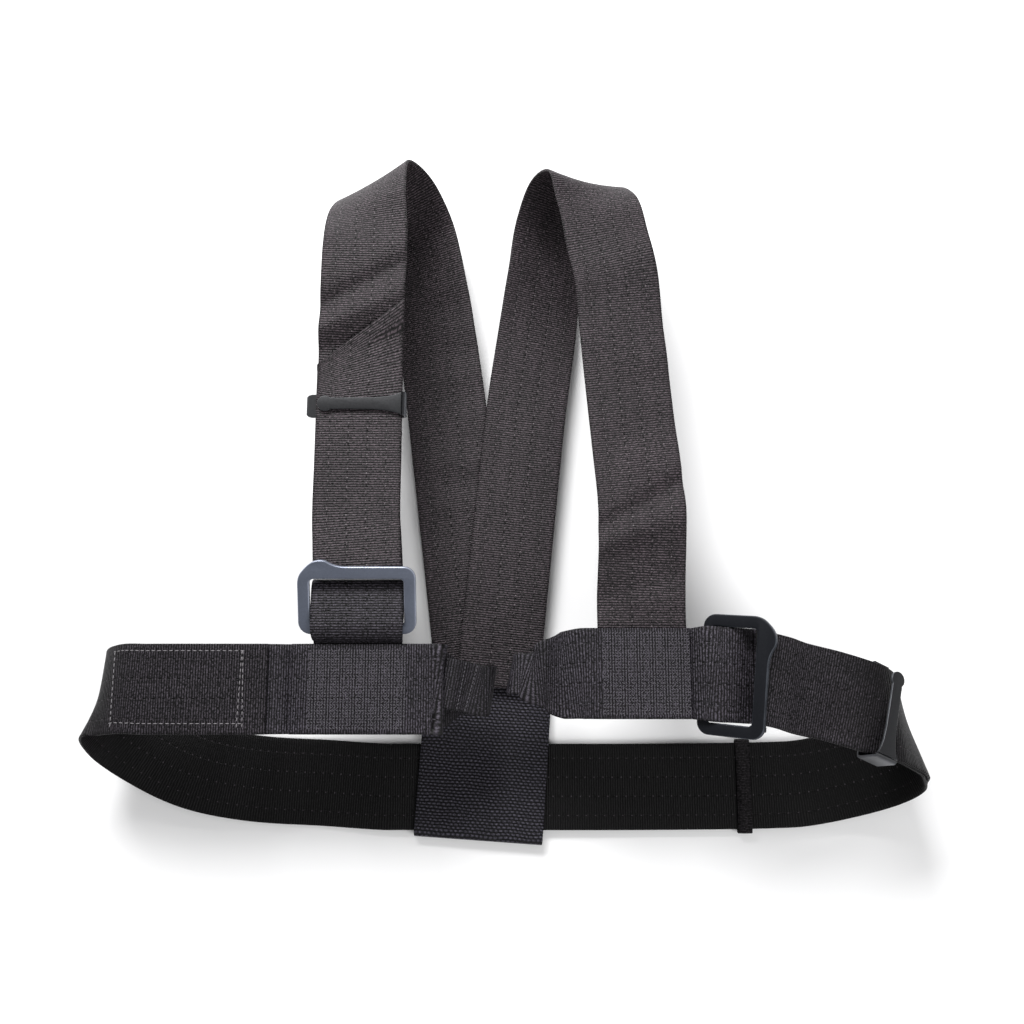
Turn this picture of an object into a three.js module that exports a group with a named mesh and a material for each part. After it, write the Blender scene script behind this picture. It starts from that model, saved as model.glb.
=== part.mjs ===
// Chest harness of sewn webbing, lying on its back: a chest belt, two shoulder straps that cross on a
// back patch of coarse webbing, two chest eyes, two ring buckles with loose slide bars and three strap
// keepers. Millimetres, +Z up. The origin is on the underside of the back patch, +Y runs to the
// shoulders.
import * as THREE from 'three';

// Driving dimensions.
const webbingWidth = 50;
const webbingThickness = 2;
const clearance = 0.3; // between pieces that touch
const shoulderReach = 366; // from the origin up to the crowns of the shoulder straps
const beltReachLeft = 218; // from the origin out to the two bends of the belt
const beltReachRight = 247;
const frontHeight = 46; // of the lower layer of the front webs above the table
const rightWebRise = 5; // the front right web lies this much higher than the left one
const patchWidth = 76;
const patchTop = 82;
const patchTurn = -4; // degrees
const eyeWidth = 28; // webbing folded to this width at the left chest eye
const tipWidth = 23; // and to this one at the right chest eye
const tipTurn = -12; // degrees
const loopPress = 2; // webbing is pressed this much wider where it fills a ring
const eyeRadius = 6.5;

// Ring buckle.
const ringThickness = 3.5;
const ringLength = 38.5;
const ringFootBar = 5;
const ringHeadBar = 7;
const ringSideBar = 6.8;
const ringSlack = 1.4; // beside the webbing, on each side
const ringCorner = 7;
const thumbTabRise = 4.4;
const thumbTabLength = 21;
const shoulderRingTilt = 18; // degrees
const beltRingTilt = 33;
const beltRingTurn = -6;
const slideBarDiameter = 4;
const slideBarOverhang = 3.8; // past the webbing, on each side

// Strap keepers.
const keeperPlateWidth = 14;
const keeperGauge = 1.5;
const keeperTab = 5; // plate past the edge of the webbing
const keeperArmWidth = 9.7;
const keeperTipRadius = 5.2;
const elasticWidth = 8.5;
const elasticGauge = 1;
const elasticSlack = 1.2; // beside the webbing, on each side

// Sewing.
const threadGauge = 0.6;
const stitchPitch = 4;

// Worked out from the sizes above.
const half = webbingWidth / 2;
const loopWidth = webbingWidth + loopPress;
const layer = webbingThickness + clearance; // from one layer of webbing to the next
const lying = webbingThickness / 2; // middle of a layer that lies on the table
const slideBarWrap = slideBarDiameter / 2 + clearance + webbingThickness / 2;
const degree = Math.PI / 180;

const webbing = { color: 0x3a3438, roughness: 0.85, metalness: 0 };
const beltWebbing = { color: 0x242126, roughness: 0.85, metalness: 0 };
const patchWebbing = { color: 0x1d1b20, roughness: 0.8, metalness: 0 };
const thread = { color: 0x1c191c, roughness: 0.7, metalness: 0 };
const elastic = { color: 0x161316, roughness: 0.9, metalness: 0 };
const anodised = { color: 0x5c6270, roughness: 0.45, metalness: 0.8 };
const steel = { color: 0x44464c, roughness: 0.35, metalness: 1 };
const gunmetal = { color: 0x3f4046, roughness: 0.5, metalness: 0.6 };

const harness = new THREE.Group();

function addPiece(name, geometry, look, parent = harness) {
  const mesh = new THREE.Mesh(geometry, new THREE.MeshStandardMaterial(look));
  mesh.name = name;
  parent.add(mesh);
  return mesh;
}

// Straps

// A station is one place on a strap's middle line. base is the heading of the strap's width, turn
// swings it about +Z and roll lifts its far edge, all in degrees.
function station(base, x, y, z, turn = 0, roll = 0, width = webbingWidth) {
  const heading = (base + turn) * degree;
  const lift = roll * degree;
  const across = new THREE.Vector3(
    Math.cos(heading) * Math.cos(lift),
    Math.sin(heading) * Math.cos(lift),
    Math.sin(lift),
  );
  return { point: new THREE.Vector3(x, y, z), across, width };
}

const up = (...place) => station(0, ...place); // a strap that runs up and down
const along = (...place) => station(90, ...place); // a strap that runs left and right

// Height at which a strap that is rolled over rests its lower edge on the table.
function resting(roll) {
  return half * Math.sin(Math.abs(roll) * degree) + lying * Math.cos(roll * degree);
}

// Stations round a bar: the bight points along outward, from below the bar to above it or back.
function bight(centre, outward, across, radius, width = webbingWidth, upward = true) {
  const turns = [];
  for (const angle of upward ? [-90, -45, 0, 45, 90] : [90, 45, 0, -45, -90]) {
    const point = centre.clone();
    point.addScaledVector(outward, radius * Math.cos(angle * degree));
    point.z += radius * Math.sin(angle * degree);
    turns.push({ point, across: across.clone(), width });
  }
  return turns;
}

class Strap {
  constructor(stations) {
    this.stations = stations;
    this.middle = new THREE.CatmullRomCurve3(stations.map((s) => s.point));
    this.acrossCurve = new THREE.CatmullRomCurve3(
      stations.map((s) => s.across),
      false,
      'catmullrom',
    );
  }

  // The strap's frame at a station number, which may lie between two stations.
  frame(number) {
    const last = this.stations.length - 1;
    const t = number / last;
    const tangent = this.middle.getTangent(t);
    const across = this.acrossCurve.getPoint(t);
    across.addScaledVector(tangent, -across.dot(tangent)).normalize();
    const before = Math.min(Math.floor(number), last - 1);
    const width = THREE.MathUtils.lerp(
      this.stations[before].width,
      this.stations[before + 1].width,
      number - before,
    );
    const normal = new THREE.Vector3().crossVectors(across, tangent);
    return { point: this.middle.getPoint(t), across, normal, tangent, width };
  }

  // A station on a layer that lies beside this strap.
  beside(number, distance) {
    const { point, across, normal, width } = this.frame(number);
    return { point: point.addScaledVector(normal, distance), across, width };
  }

  // The webbing itself. A cut end is slanted over its last stretch of slantSpan stations.
  solid({ steps = 3, endSlant = 0, slantSpan = 2 } = {}) {
    const last = this.stations.length - 1;
    const positions = [];
    const faces = [];
    const count = last * steps;
    for (let i = 0; i <= count; i++) {
      const number = i / steps;
      const { point, across, normal, tangent, width } = this.frame(number);
      const slant = endSlant * Math.max(0, 1 - (last - number) / slantSpan);
      for (const [side, face] of [[-1, -1], [1, -1], [1, 1], [-1, 1]]) {
        const corner = point.clone();
        corner.addScaledVector(across, (side * width) / 2);
        corner.addScaledVector(normal, (face * webbingThickness) / 2);
        corner.addScaledVector(tangent, side * slant);
        positions.push(corner.x, corner.y, corner.z);
      }
    }
    for (let i = 0; i < count; i++) {
      for (let k = 0; k < 4; k++) {
        const a = i * 4 + k;
        const b = i * 4 + ((k + 1) % 4);
        faces.push(a, a + 4, b + 4, a, b + 4, b);
      }
    }
    const end = count * 4;
    faces.push(0, 1, 2, 0, 2, 3, end, end + 2, end + 1, end, end + 3, end + 2);
    const geometry = new THREE.BufferGeometry();
    geometry.setAttribute('position', new THREE.Float32BufferAttribute(positions, 3));
    geometry.setIndex(faces);
    return geometry;
  }
}

// Ring buckles, in their own frame: the foot bar on the X axis, the head bar towards +Y

const ringHalfWidth = half + ringSlack + ringSideBar;
const ringHead = ringLength - ringFootBar / 2;
// The bight that the slide bar pulls sits under the head bar.
const tailUnderHead = ringThickness / 2 + clearance + webbingThickness / 2;
const slideBarPlace = new THREE.Vector3(
  0,
  ringHead - ringHeadBar / 2,
  -tailUnderHead - slideBarWrap,
);

function ringGeometry() {
  const outline = new THREE.Shape();
  const foot = -ringFootBar / 2;
  outline.moveTo(-ringHalfWidth + ringCorner, foot);
  outline.lineTo(ringHalfWidth - ringCorner, foot);
  outline.absarc(ringHalfWidth - ringCorner, foot + ringCorner, ringCorner, -Math.PI / 2, 0);
  outline.lineTo(ringHalfWidth, ringHead - ringCorner);
  outline.absarc(ringHalfWidth - ringCorner, ringHead - ringCorner, ringCorner, 0, Math.PI / 2);
  const tabEnd = -ringHalfWidth + thumbTabLength;
  outline.lineTo(tabEnd + 6, ringHead);
  outline.quadraticCurveTo(tabEnd, ringHead, tabEnd - 5, ringHead + thumbTabRise - 1);
  outline.quadraticCurveTo(
    -ringHalfWidth + ringCorner + 2,
    ringHead + thumbTabRise + 1,
    -ringHalfWidth + 3,
    ringHead - 2,
  );
  outline.quadraticCurveTo(-ringHalfWidth, ringHead - 5, -ringHalfWidth, ringHead - 10);
  outline.lineTo(-ringHalfWidth, foot + ringCorner);
  outline.absarc(-ringHalfWidth + ringCorner, foot + ringCorner, ringCorner, Math.PI, 1.5 * Math.PI);

  const side = half + ringSlack;
  const eye = new THREE.Path();
  const corner = 1.5;
  const low = ringFootBar / 2;
  const high = ringHead - ringHeadBar;
  eye.moveTo(-side + corner, low);
  eye.lineTo(side - corner, low);
  eye.absarc(side - corner, low + corner, corner, -Math.PI / 2, 0);
  eye.lineTo(side, high - corner);
  eye.absarc(side - corner, high - corner, corner, 0, Math.PI / 2);
  eye.lineTo(-side + corner, high);
  eye.absarc(-side + corner, high - corner, corner, Math.PI / 2, Math.PI);
  eye.lineTo(-side, low + corner);
  eye.absarc(-side + corner, low + corner, corner, Math.PI, 1.5 * Math.PI);
  outline.holes.push(eye);
  const ring = new THREE.ExtrudeGeometry(outline, {
    depth: ringThickness,
    bevelEnabled: false,
    curveSegments: 5,
  });
  return ring.translate(0, 0, -ringThickness / 2);
}

function slideBarGeometry() {
  const length = webbingWidth + 2 * slideBarOverhang;
  const bar = new THREE.CylinderGeometry(slideBarDiameter / 2, slideBarDiameter / 2, length, 12);
  return bar.rotateZ(Math.PI / 2);
}

// Places a ring and its slide bar; returns the slide bar's axis in the harness frame.
function addBuckle(prefix, foot, headingDegrees, tiltDegrees) {
  const buckle = new THREE.Group();
  buckle.position.copy(foot);
  buckle.rotation.set(tiltDegrees * degree, 0, headingDegrees * degree, 'ZYX');
  harness.add(buckle);
  addPiece(`${prefix}_ring_buckle`, ringGeometry(), anodised, buckle);
  const bar = addPiece(`${prefix}_slide_bar`, slideBarGeometry(), steel, buckle);
  bar.position.copy(slideBarPlace);
  buckle.updateMatrixWorld(true);
  return slideBarPlace.clone().applyMatrix4(buckle.matrixWorld);
}

const loopGap = ringFootBar / 2 + clearance + webbingThickness / 2 + 0.8;
const leftY = 57; // middle of the front left web
const rightY = 65.5; // and of the front right web
const loopStub = 8; // the shoulder ring's foot bar stands this far above the left web
const shoulderFoot = new THREE.Vector3(-69, leftY + half + loopStub, frontHeight + layer + loopGap);
const beltFoot = new THREE.Vector3(125.5, rightY, frontHeight + rightWebRise + loopGap);
const shoulderBar = addBuckle('shoulder', shoulderFoot, 0, shoulderRingTilt);
const beltBar = addBuckle('belt', beltFoot, beltRingTurn - 90, beltRingTilt);

// Left shoulder strap: back patch, crown, down the front, round the slide bar, tail

const xAxis = new THREE.Vector3(1, 0, 0);
const yAxis = new THREE.Vector3(0, 1, 0);
const shoulderX = -71; // middle line of the strap where it runs straight down the front
const shoulderZ = frontHeight + 8.5;
const patchSeamZ = lying + layer; // the upper side of the sleeve where it is sewn to the lower one
const underZ = patchSeamZ + layer; // the left strap is sewn onto the patch
const overZ = underZ + layer; // and the right strap onto the left one
const crossRise = 0.092 * half; // the upper strap rides this high over the lower one where they part

const leftMain = [
  up(-3, 58, underZ, 7),
  up(-6, 88, underZ + 0.2, 7),
  up(-13, 148, underZ + 1, 6),
  up(-18, 189, underZ + 1.6, 6),
  up(-23, 230, underZ + 2, 6),
  up(-29, shoulderReach - 93, underZ + 2.4, 8, 8),
  up(-35, shoulderReach - 53, resting(19) + 0.3, 10, 19),
  up(-42, shoulderReach - 22, resting(22) + 2, 11, 22),
  up(-53, shoulderReach - 2, 25, 16, 23),
  up(-65, shoulderReach, frontHeight - 3, 22, 22),
  up(-69, shoulderReach - 19, frontHeight + 12, 15, 13),
  up(-69, shoulderReach - 48, frontHeight + 18, 4, 2),
  up(-70, shoulderReach - 84, frontHeight + 15),
  up(shoulderX, 253, shoulderZ + 1),
  up(shoulderX, 240, shoulderZ),
  up(shoulderX, 220, shoulderZ),
  up(shoulderX, 187, shoulderZ),
  up(shoulderX, 155, shoulderZ),
  up(shoulderX + 1, 140, shoulderBar.z - slideBarWrap + 0.4),
];
const leftStraight = new Strap(leftMain);
const shoulderTail = [
  up(shoulderX + 1, 140, shoulderBar.z + slideBarWrap - 1.2),
  up(shoulderX, 155, shoulderZ + layer + 0.6),
  leftStraight.beside(16, -layer),
  leftStraight.beside(15, -layer),
  leftStraight.beside(14, -layer),
  leftStraight.beside(13, -layer),
  leftStraight.beside(12.9, -layer),
  leftStraight.beside(12.6, -layer),
];
const leftStrap = new Strap([
  ...leftMain,
  ...bight(new THREE.Vector3(shoulderFoot.x, shoulderBar.y, shoulderBar.z), yAxis.clone().negate(),
    xAxis, slideBarWrap),
  ...shoulderTail,
]);
addPiece('left_shoulder_strap', leftStrap.solid({ endSlant: 20, slantSpan: 4.3 }), webbing);

// Right shoulder strap: back patch, crown, down the front into the right web

const rightWebZ = frontHeight + rightWebRise;
const rightStrap = new Strap([
  up(9, 58, overZ, -7),
  up(12, 88, overZ + 0.4, -7),
  up(20, 165, overZ + 1.5, -7),
  up(27, 230, overZ + crossRise, -7),
  up(34, shoulderReach - 87, overZ + 1.7, -8, -9),
  up(39, shoulderReach - 49, resting(19) + 0.3, -9, -19),
  up(44, shoulderReach - 17, resting(22) + 2.6, -9, -22),
  up(52, shoulderReach, 26, -9, -22),
  up(62, shoulderReach, frontHeight - 5, -6, -18),
  up(70, shoulderReach - 17, frontHeight + 6, 7, -8),
  up(75, shoulderReach - 43, frontHeight + 10, 12),
  up(80, shoulderReach - 66, frontHeight + 9, 10),
  up(83, 267, frontHeight + 5, 7),
  up(87, 225, frontHeight + 4, 7),
  up(90, 191, frontHeight + 7, 7),
  up(92, 163, frontHeight + 11, 4),
  up(92, 135, frontHeight + 10, 1),
  up(91, 108, rightWebZ + layer + 1.2),
  up(91, 98, rightWebZ + layer),
  up(91, 90, rightWebZ + layer),
  up(91, 44, rightWebZ + layer),
]);
addPiece('right_shoulder_strap', rightStrap.solid(), webbing);

// Belt: end under the left web, left bend, sleeve, right bend, round the slide bar, tail

const beltFrontZ = frontHeight + 8;
const sleeveZ = lying + layer;
const beltMain = [
  along(-119, leftY, frontHeight + 5 + layer),
  along(-150, leftY, beltFrontZ),
  along(-beltReachLeft + 33, leftY, beltFrontZ - 0.4, -2),
  along(-beltReachLeft + 13, leftY, beltFrontZ - 5.5, -7, -2),
  along(-beltReachLeft, 53, beltFrontZ - 18, -10, -4),
  along(-beltReachLeft + 4, 39, 17, -16, -8),
  along(-beltReachLeft + 22, 24, resting(7) + 1.6, -19, -7),
  along(-beltReachLeft + 47, 12, resting(3) + 1, -13, -3),
  along(-138, 5, lying + 0.7, -4),
  along(-91, 2, lying + 0.5),
  along(-58, 0, sleeveZ - 0.2),
  along(-48, 0, sleeveZ),
  along(0, 0, sleeveZ),
  along(94, 0, sleeveZ),
  along(beltReachRight - 75, 1, sleeveZ),
  along(beltReachRight - 57, 2, sleeveZ - 0.3, 3),
  along(beltReachRight - 31, 7, resting(3) + 0.8, 9, -3),
  along(beltReachRight - 9, 14, resting(11) + 1.6, 14, -11),
  along(beltReachRight, 21, 18, 14, -18),
  along(beltReachRight - 3, 29, frontHeight - 14, 14, -14),
  along(beltReachRight - 10, 36, frontHeight - 4, 11, -9),
  along(beltReachRight - 19, 42, frontHeight + 4, 6, -6),
  along(beltReachRight - 35, 48, frontHeight + 9, -5, -3),
  along(beltReachRight - 52, 53, frontHeight + 10, -9),
  along(177, 57, frontHeight + 12, -6),
  along(167, 60, beltBar.z - slideBarWrap - 2.6, beltRingTurn),
];
const beltStraight = new Strap(beltMain);
const outwardOfBelt = new THREE.Vector3(
  -Math.cos(beltRingTurn * degree),
  -Math.sin(beltRingTurn * degree),
  0,
);
const beltAcross = new THREE.Vector3(outwardOfBelt.y, -outwardOfBelt.x, 0);
const beltStrap = new Strap([
  ...beltMain,
  ...bight(beltBar, outwardOfBelt, beltAcross, slideBarWrap),
  along(167, 60, beltBar.z + slideBarWrap - 3.4, beltRingTurn),
  along(178, 57, frontHeight + 12 + layer + 1.4, -6),
  ...[23, 22, 21.5, 21, 20.5, 20, 19.5].map((number) => beltStraight.beside(number, layer)),
  beltStraight.beside(19, layer + 0.3),
  along(beltReachRight + 1.5, 27, 24, 14, -16),
]);
addPiece('belt_strap', beltStrap.solid({ endSlant: -3 }), beltWebbing);

// Back patch: a sleeve folded round the belt's lower edge and sewn shut above it

const foldRadius = layer;
const patchFold = -half - clearance - 2.5;
const patchGroup = new THREE.Group();
patchGroup.rotation.z = patchTurn * degree;
harness.add(patchGroup);
const patch = new Strap([
  up(0, patchTop, lying, 0, 0, patchWidth),
  up(0, patchFold + 5, lying, 0, 0, patchWidth),
  up(0, patchFold + 1.5, lying, 0, 0, patchWidth),
  up(0, patchFold - 0.3, lying + 0.12, 0, 0, patchWidth),
  up(0, patchFold - foldRadius * 0.71, lying + foldRadius * 0.29, 0, 0, patchWidth),
  up(0, patchFold - foldRadius, lying + foldRadius, 0, 0, patchWidth),
  up(0, patchFold - foldRadius * 0.71, lying + foldRadius * 1.71, 0, 0, patchWidth),
  up(0, patchFold, lying + 2 * foldRadius, 0, 0, patchWidth),
  up(0, patchFold + 5, lying + 2 * foldRadius, 0, 0, patchWidth),
  up(0, half, lying + 2 * foldRadius, 0, 0, patchWidth),
  up(0, half + 5, lying + 2 * foldRadius, 0, 0, patchWidth),
  up(0, half + 14, patchSeamZ, 0, 0, patchWidth),
  up(0, half + 20, patchSeamZ, 0, 0, patchWidth),
  up(0, patchTop, patchSeamZ, 0, 0, patchWidth),
]);
addPiece('back_patch', patch.solid(), patchWebbing, patchGroup);

// Front left web: over the belt's end, under the sewn box, round the eye and back on top

const leftTopZ = frontHeight + 3 * layer;
const eyeZ = frontHeight - 6;
const leftWeb = new Strap([
  ...[2.5, 2.3, 2.15, 2, 1.75, 1.5, 1.2, 0.9].map((number) => beltStraight.beside(number, -layer - 0.5)),
  along(-130, leftY, beltFrontZ - layer - 1.1),
  along(-119, leftY, frontHeight + 4.4),
  along(-108, leftY, frontHeight + 1.4),
  along(-100, leftY, frontHeight),
  along(-94, leftY, frontHeight),
  along(-48, leftY, frontHeight),
  along(-42, leftY, frontHeight),
  along(-32, leftY, frontHeight - 1.6),
  along(-20, leftY, frontHeight - 7.5, 0, 0, eyeWidth + 8),
  along(-10, leftY, eyeZ - eyeRadius, -4, 0, eyeWidth),
  ...bight(new THREE.Vector3(0, leftY, eyeZ), xAxis, along(0, 0, 0, -8).across, eyeRadius, eyeWidth),
  along(-12, leftY + 2.5, frontHeight + 3.6, -11, 0, eyeWidth),
  along(-19, leftY + 2.5, leftTopZ - 1.3, -7, 0, eyeWidth + 2),
  along(-25, leftY + 0.5, leftTopZ - 0.2, -1, 0, webbingWidth - 3),
  along(-31, leftY, leftTopZ),
  along(-42, leftY, leftTopZ),
  along(-92, leftY, leftTopZ),
  along(-97, leftY, leftTopZ),
  along(-106, leftY, leftTopZ - 1.6),
]);
addPiece('front_left_web', leftWeb.solid(), beltWebbing);

// Front right web: cut end on top, round the eye, back below, round the ring's foot bar

const rightTopZ = rightWebZ + 3 * layer;
const tip = new THREE.Vector3(24, rightY + 1, frontHeight - 8);
const loopBightX = beltBar.x - slideBarWrap + 0.7; // its end lies under the belt's bight
const beltLoopRadius = loopGap;
const rightWeb = new Strap([
  along(117, rightY, rightTopZ),
  along(72, rightY, rightTopZ),
  along(66, rightY, rightTopZ),
  along(57, rightY, rightTopZ - 0.9),
  along(46, rightY - 1, rightTopZ - 4, 0, 0, webbingWidth - 2),
  along(36, rightY - 1.5, frontHeight + 3, -3, 0, 38),
  along(29, rightY - 0.5, frontHeight - 1.6, -8, 0, 31),
  ...bight(tip, xAxis.clone().negate(), along(0, 0, 0, tipTurn).across, eyeRadius, tipWidth, false),
  along(36, rightY - 1.5, frontHeight - 10, -3, 0, 34),
  along(48, rightY - 1, frontHeight - 1, 0, 0, webbingWidth - 2),
  along(57, rightY, rightWebZ - 0.9),
  along(64, rightY, rightWebZ),
  along(70, rightY, rightWebZ),
  along(112, rightY, rightWebZ, -1),
  along(118, rightY, rightWebZ, -2),
  along(128, rightY, rightWebZ, -4),
  ...bight(
    new THREE.Vector3(loopBightX - beltLoopRadius, rightY - 1.5, rightWebZ + beltLoopRadius),
    xAxis,
    along(0, 0, 0, beltRingTurn + 1).across,
    beltLoopRadius,
    loopWidth,
  ),
  along(134, rightY - 0.8, rightWebZ + 2 * loopGap + 0.8, -4, 0, loopWidth),
  along(125.5, rightY, rightWebZ + 2 * loopGap + 0.6, -3, 0, loopWidth),
  along(121, rightY, rightWebZ + 2 * loopGap - 1.4, -2, 0, loopWidth - 1),
  along(117.5, rightY, rightWebZ + 2 * layer + 0.7, -1),
  along(113, rightY, rightWebZ + 2 * layer),
  along(107, rightY, rightWebZ + 2 * layer),
  along(72, rightY, rightWebZ + 2 * layer),
]);
addPiece('front_right_web', rightWeb.solid(), beltWebbing);

// Loop that carries the shoulder buckle, sewn into the front left web

const loopX = shoulderFoot.x;
const loopTop = shoulderBar.y - slideBarWrap - webbingThickness / 2 - 1.2;
const webTop = leftY + half;
const buckleLoop = new Strap([
  up(loopX, 37, frontHeight + layer),
  up(loopX, webTop, frontHeight + layer),
  up(loopX, webTop + 8, frontHeight + layer),
  ...bight(
    new THREE.Vector3(loopX, loopTop - loopGap, frontHeight + layer + loopGap),
    yAxis,
    xAxis,
    loopGap,
    loopWidth,
  ),
  up(loopX, webTop + 16, frontHeight + layer + 2 * loopGap + 0.9, 0, 0, loopWidth),
  up(loopX, webTop + 8, frontHeight + layer + 2 * loopGap + 0.6, 0, 0, loopWidth),
  up(loopX, webTop + 3.6, frontHeight + layer + 2 * loopGap - 1.6, 0, 0, loopWidth - 1),
  up(loopX, webTop + 1.6, frontHeight + 2 * layer + 0.5),
  up(loopX, webTop - 2, frontHeight + 2 * layer),
  up(loopX, webTop - 6, frontHeight + 2 * layer),
  up(loopX, webTop - 10, frontHeight + 2 * layer),
  up(loopX, 37, frontHeight + 2 * layer),
]);
addPiece('shoulder_buckle_loop', buckleLoop.solid(), beltWebbing);

// Strap keepers: a spring clip of bent strip, its plate behind the webbing, its arm in front

// In the keeper's own frame X runs across the webbing, Y along it, and the origin is midway between
// the two layers that it holds.
function addKeeper(prefix, place, slack) {
  const keeper = new THREE.Group();
  keeper.applyMatrix4(place);
  harness.add(keeper);
  const grip = layer / 2 + webbingThickness / 2 + clearance;
  const edge = half + clearance + 0.7;
  const back = -grip - keeperGauge - slack.behind;
  const front = grip + keeperGauge + slack.inFront;
  const bentStrip = new THREE.Shape();
  bentStrip.moveTo(-edge - keeperTab, back);
  bentStrip.lineTo(edge + keeperGauge, back);
  bentStrip.lineTo(edge + keeperGauge, front);
  bentStrip.lineTo(edge, front);
  bentStrip.lineTo(edge, back + keeperGauge);
  bentStrip.lineTo(-edge - keeperTab, back + keeperGauge);
  bentStrip.closePath();
  const plate = new THREE.ExtrudeGeometry(bentStrip, { depth: keeperPlateWidth, bevelEnabled: false });
  plate.translate(0, 0, -keeperPlateWidth / 2).rotateX(Math.PI / 2);
  addPiece(`${prefix}_keeper_plate`, plate, gunmetal, keeper);

  const tipX = -half + keeperTipRadius + 1;
  const root = edge - clearance;
  const neck = keeperArmWidth / 2;
  const arm = new THREE.Shape();
  arm.moveTo(tipX + keeperTipRadius, -neck);
  arm.lineTo(root - 6, -neck);
  arm.quadraticCurveTo(root - 2, -neck, root, -keeperPlateWidth / 2);
  arm.lineTo(root, keeperPlateWidth / 2);
  arm.quadraticCurveTo(root - 2, neck, root - 6, neck);
  arm.lineTo(tipX + keeperTipRadius, neck);
  arm.absarc(tipX, 0, keeperTipRadius, Math.PI / 4, 1.75 * Math.PI);
  arm.closePath();
  const strip = new THREE.ExtrudeGeometry(arm, {
    depth: keeperGauge,
    bevelEnabled: false,
    curveSegments: 8,
  });
  addPiece(`${prefix}_keeper_arm`, strip.translate(0, 0, front - keeperGauge), gunmetal, keeper);
}

function placeOn(frame, outward, bendSide) {
  const normal = frame.normal.clone().multiplyScalar(outward);
  const across = frame.across.clone().multiplyScalar(bendSide);
  const tangent = new THREE.Vector3().crossVectors(normal, across);
  const place = new THREE.Matrix4().makeBasis(across, tangent, normal);
  return place.setPosition(frame.point.clone().addScaledVector(normal, layer / 2));
}

const bendSlack = { behind: 6.2, inFront: 2.3 }; // the belt is curved where its keeper sits
addKeeper('shoulder', placeOn(leftStraight.frame(15), -1, 1), { behind: 0, inFront: 0 });
addKeeper('belt', placeOn(beltStraight.frame(21.2), 1, -1), bendSlack);

// Elastic keeper round the back of the belt

function elasticGeometry() {
  const inside = new THREE.Vector2(half + elasticSlack, webbingThickness / 2 + clearance);
  const outside = inside.clone().addScalar(elasticGauge);
  const band = new THREE.Shape();
  band.moveTo(-outside.x, -outside.y);
  band.lineTo(outside.x, -outside.y);
  band.lineTo(outside.x, outside.y);
  band.lineTo(-outside.x, outside.y);
  band.closePath();
  const hole = new THREE.Path();
  hole.moveTo(-inside.x, -inside.y);
  hole.lineTo(inside.x, -inside.y);
  hole.lineTo(inside.x, inside.y);
  hole.lineTo(-inside.x, inside.y);
  hole.closePath();
  band.holes.push(hole);
  const ring = new THREE.ExtrudeGeometry(band, { depth: elasticWidth, bevelEnabled: false });
  return ring.translate(0, 0, -elasticWidth / 2).rotateY(Math.PI / 2).rotateX(Math.PI / 2);
}
const elasticKeeper = addPiece('elastic_keeper', elasticGeometry(), elastic);
elasticKeeper.position.set(155.5, 0.4, sleeveZ);

// Sewing: each run of thread is one zigzag on top of the layers that it holds

function zigzagGeometry(left, right, low, high) {
  const count = Math.round((right - left) / stitchPitch);
  const run = (right - left) / count;
  const thick = 1.6; // along the rows
  const points = [];
  for (let i = 0; i <= count; i++) {
    points.push(new THREE.Vector2(left + i * run, i % 2 ? high - thick : low));
  }
  const backwards = points.map((p) => new THREE.Vector2(p.x, p.y + thick)).reverse();
  return new THREE.ExtrudeGeometry(new THREE.Shape([...points, ...backwards]), {
    depth: threadGauge,
    bevelEnabled: false,
  });
}

function addStitch(name, left, right, low, high, surface) {
  const mesh = addPiece(name, zigzagGeometry(left, right, low, high), thread);
  mesh.position.z = surface + webbingThickness / 2 + 2 * clearance;
}

// A short row across a strap that isn't level.
function addTack(name, strap, number, width) {
  const { point, across, normal, tangent } = strap.frame(number);
  const place = new THREE.Matrix4().makeBasis(across, tangent, normal);
  place.setPosition(point.addScaledVector(normal, webbingThickness / 2 + 2 * clearance));
  const mesh = addPiece(name, zigzagGeometry(-width / 2, width / 2, -3, 3), thread);
  mesh.applyMatrix4(place);
}

const boxLeft = loopX - half + 1;
const boxRight = loopX + half - 1;
addStitch('left_box_stitch_upper', boxLeft, boxRight, leftY + 4, leftY + 22, leftTopZ);
addStitch('left_box_stitch_lower', boxLeft, boxRight, leftY - 18, leftY - 3, leftTopZ);
addStitch('left_join_stitch', -152, -130, leftY - 20, leftY + 20, beltFrontZ);
addStitch('right_box_stitch_upper', 67, 115, rightY + 3, rightY + 21, rightTopZ);
addStitch('right_box_stitch_lower', 67, 115, rightY - 20, rightY - 4, rightTopZ);
addStitch('back_patch_stitch', -8, 28, 62, 78, patchSeamZ + 2 * layer);

addTack('left_eye_tack', leftWeb, 22.7, eyeWidth - 6);
addTack('right_eye_tack', rightWeb, 4.2, 24);

export default harness;
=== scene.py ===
# Chest harness of sewn webbing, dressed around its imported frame. Metres in Blender, +Z up.
import math

import bmesh
import bpy
import numpy as np
from mathutils import Matrix, Vector


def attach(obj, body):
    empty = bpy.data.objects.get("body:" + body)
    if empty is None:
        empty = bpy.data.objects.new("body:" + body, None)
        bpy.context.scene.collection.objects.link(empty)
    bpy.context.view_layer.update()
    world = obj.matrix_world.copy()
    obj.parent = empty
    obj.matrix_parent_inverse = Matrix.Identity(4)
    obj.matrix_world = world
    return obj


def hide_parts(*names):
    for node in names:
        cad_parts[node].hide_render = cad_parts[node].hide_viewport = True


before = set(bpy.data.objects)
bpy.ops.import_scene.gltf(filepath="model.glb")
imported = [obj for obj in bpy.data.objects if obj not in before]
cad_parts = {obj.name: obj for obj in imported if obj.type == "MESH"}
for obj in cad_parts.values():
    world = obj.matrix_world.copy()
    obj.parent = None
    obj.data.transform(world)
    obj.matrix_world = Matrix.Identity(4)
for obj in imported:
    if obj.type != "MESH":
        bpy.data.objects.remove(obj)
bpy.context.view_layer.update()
mm = 0.001
degree = math.pi / 180
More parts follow.
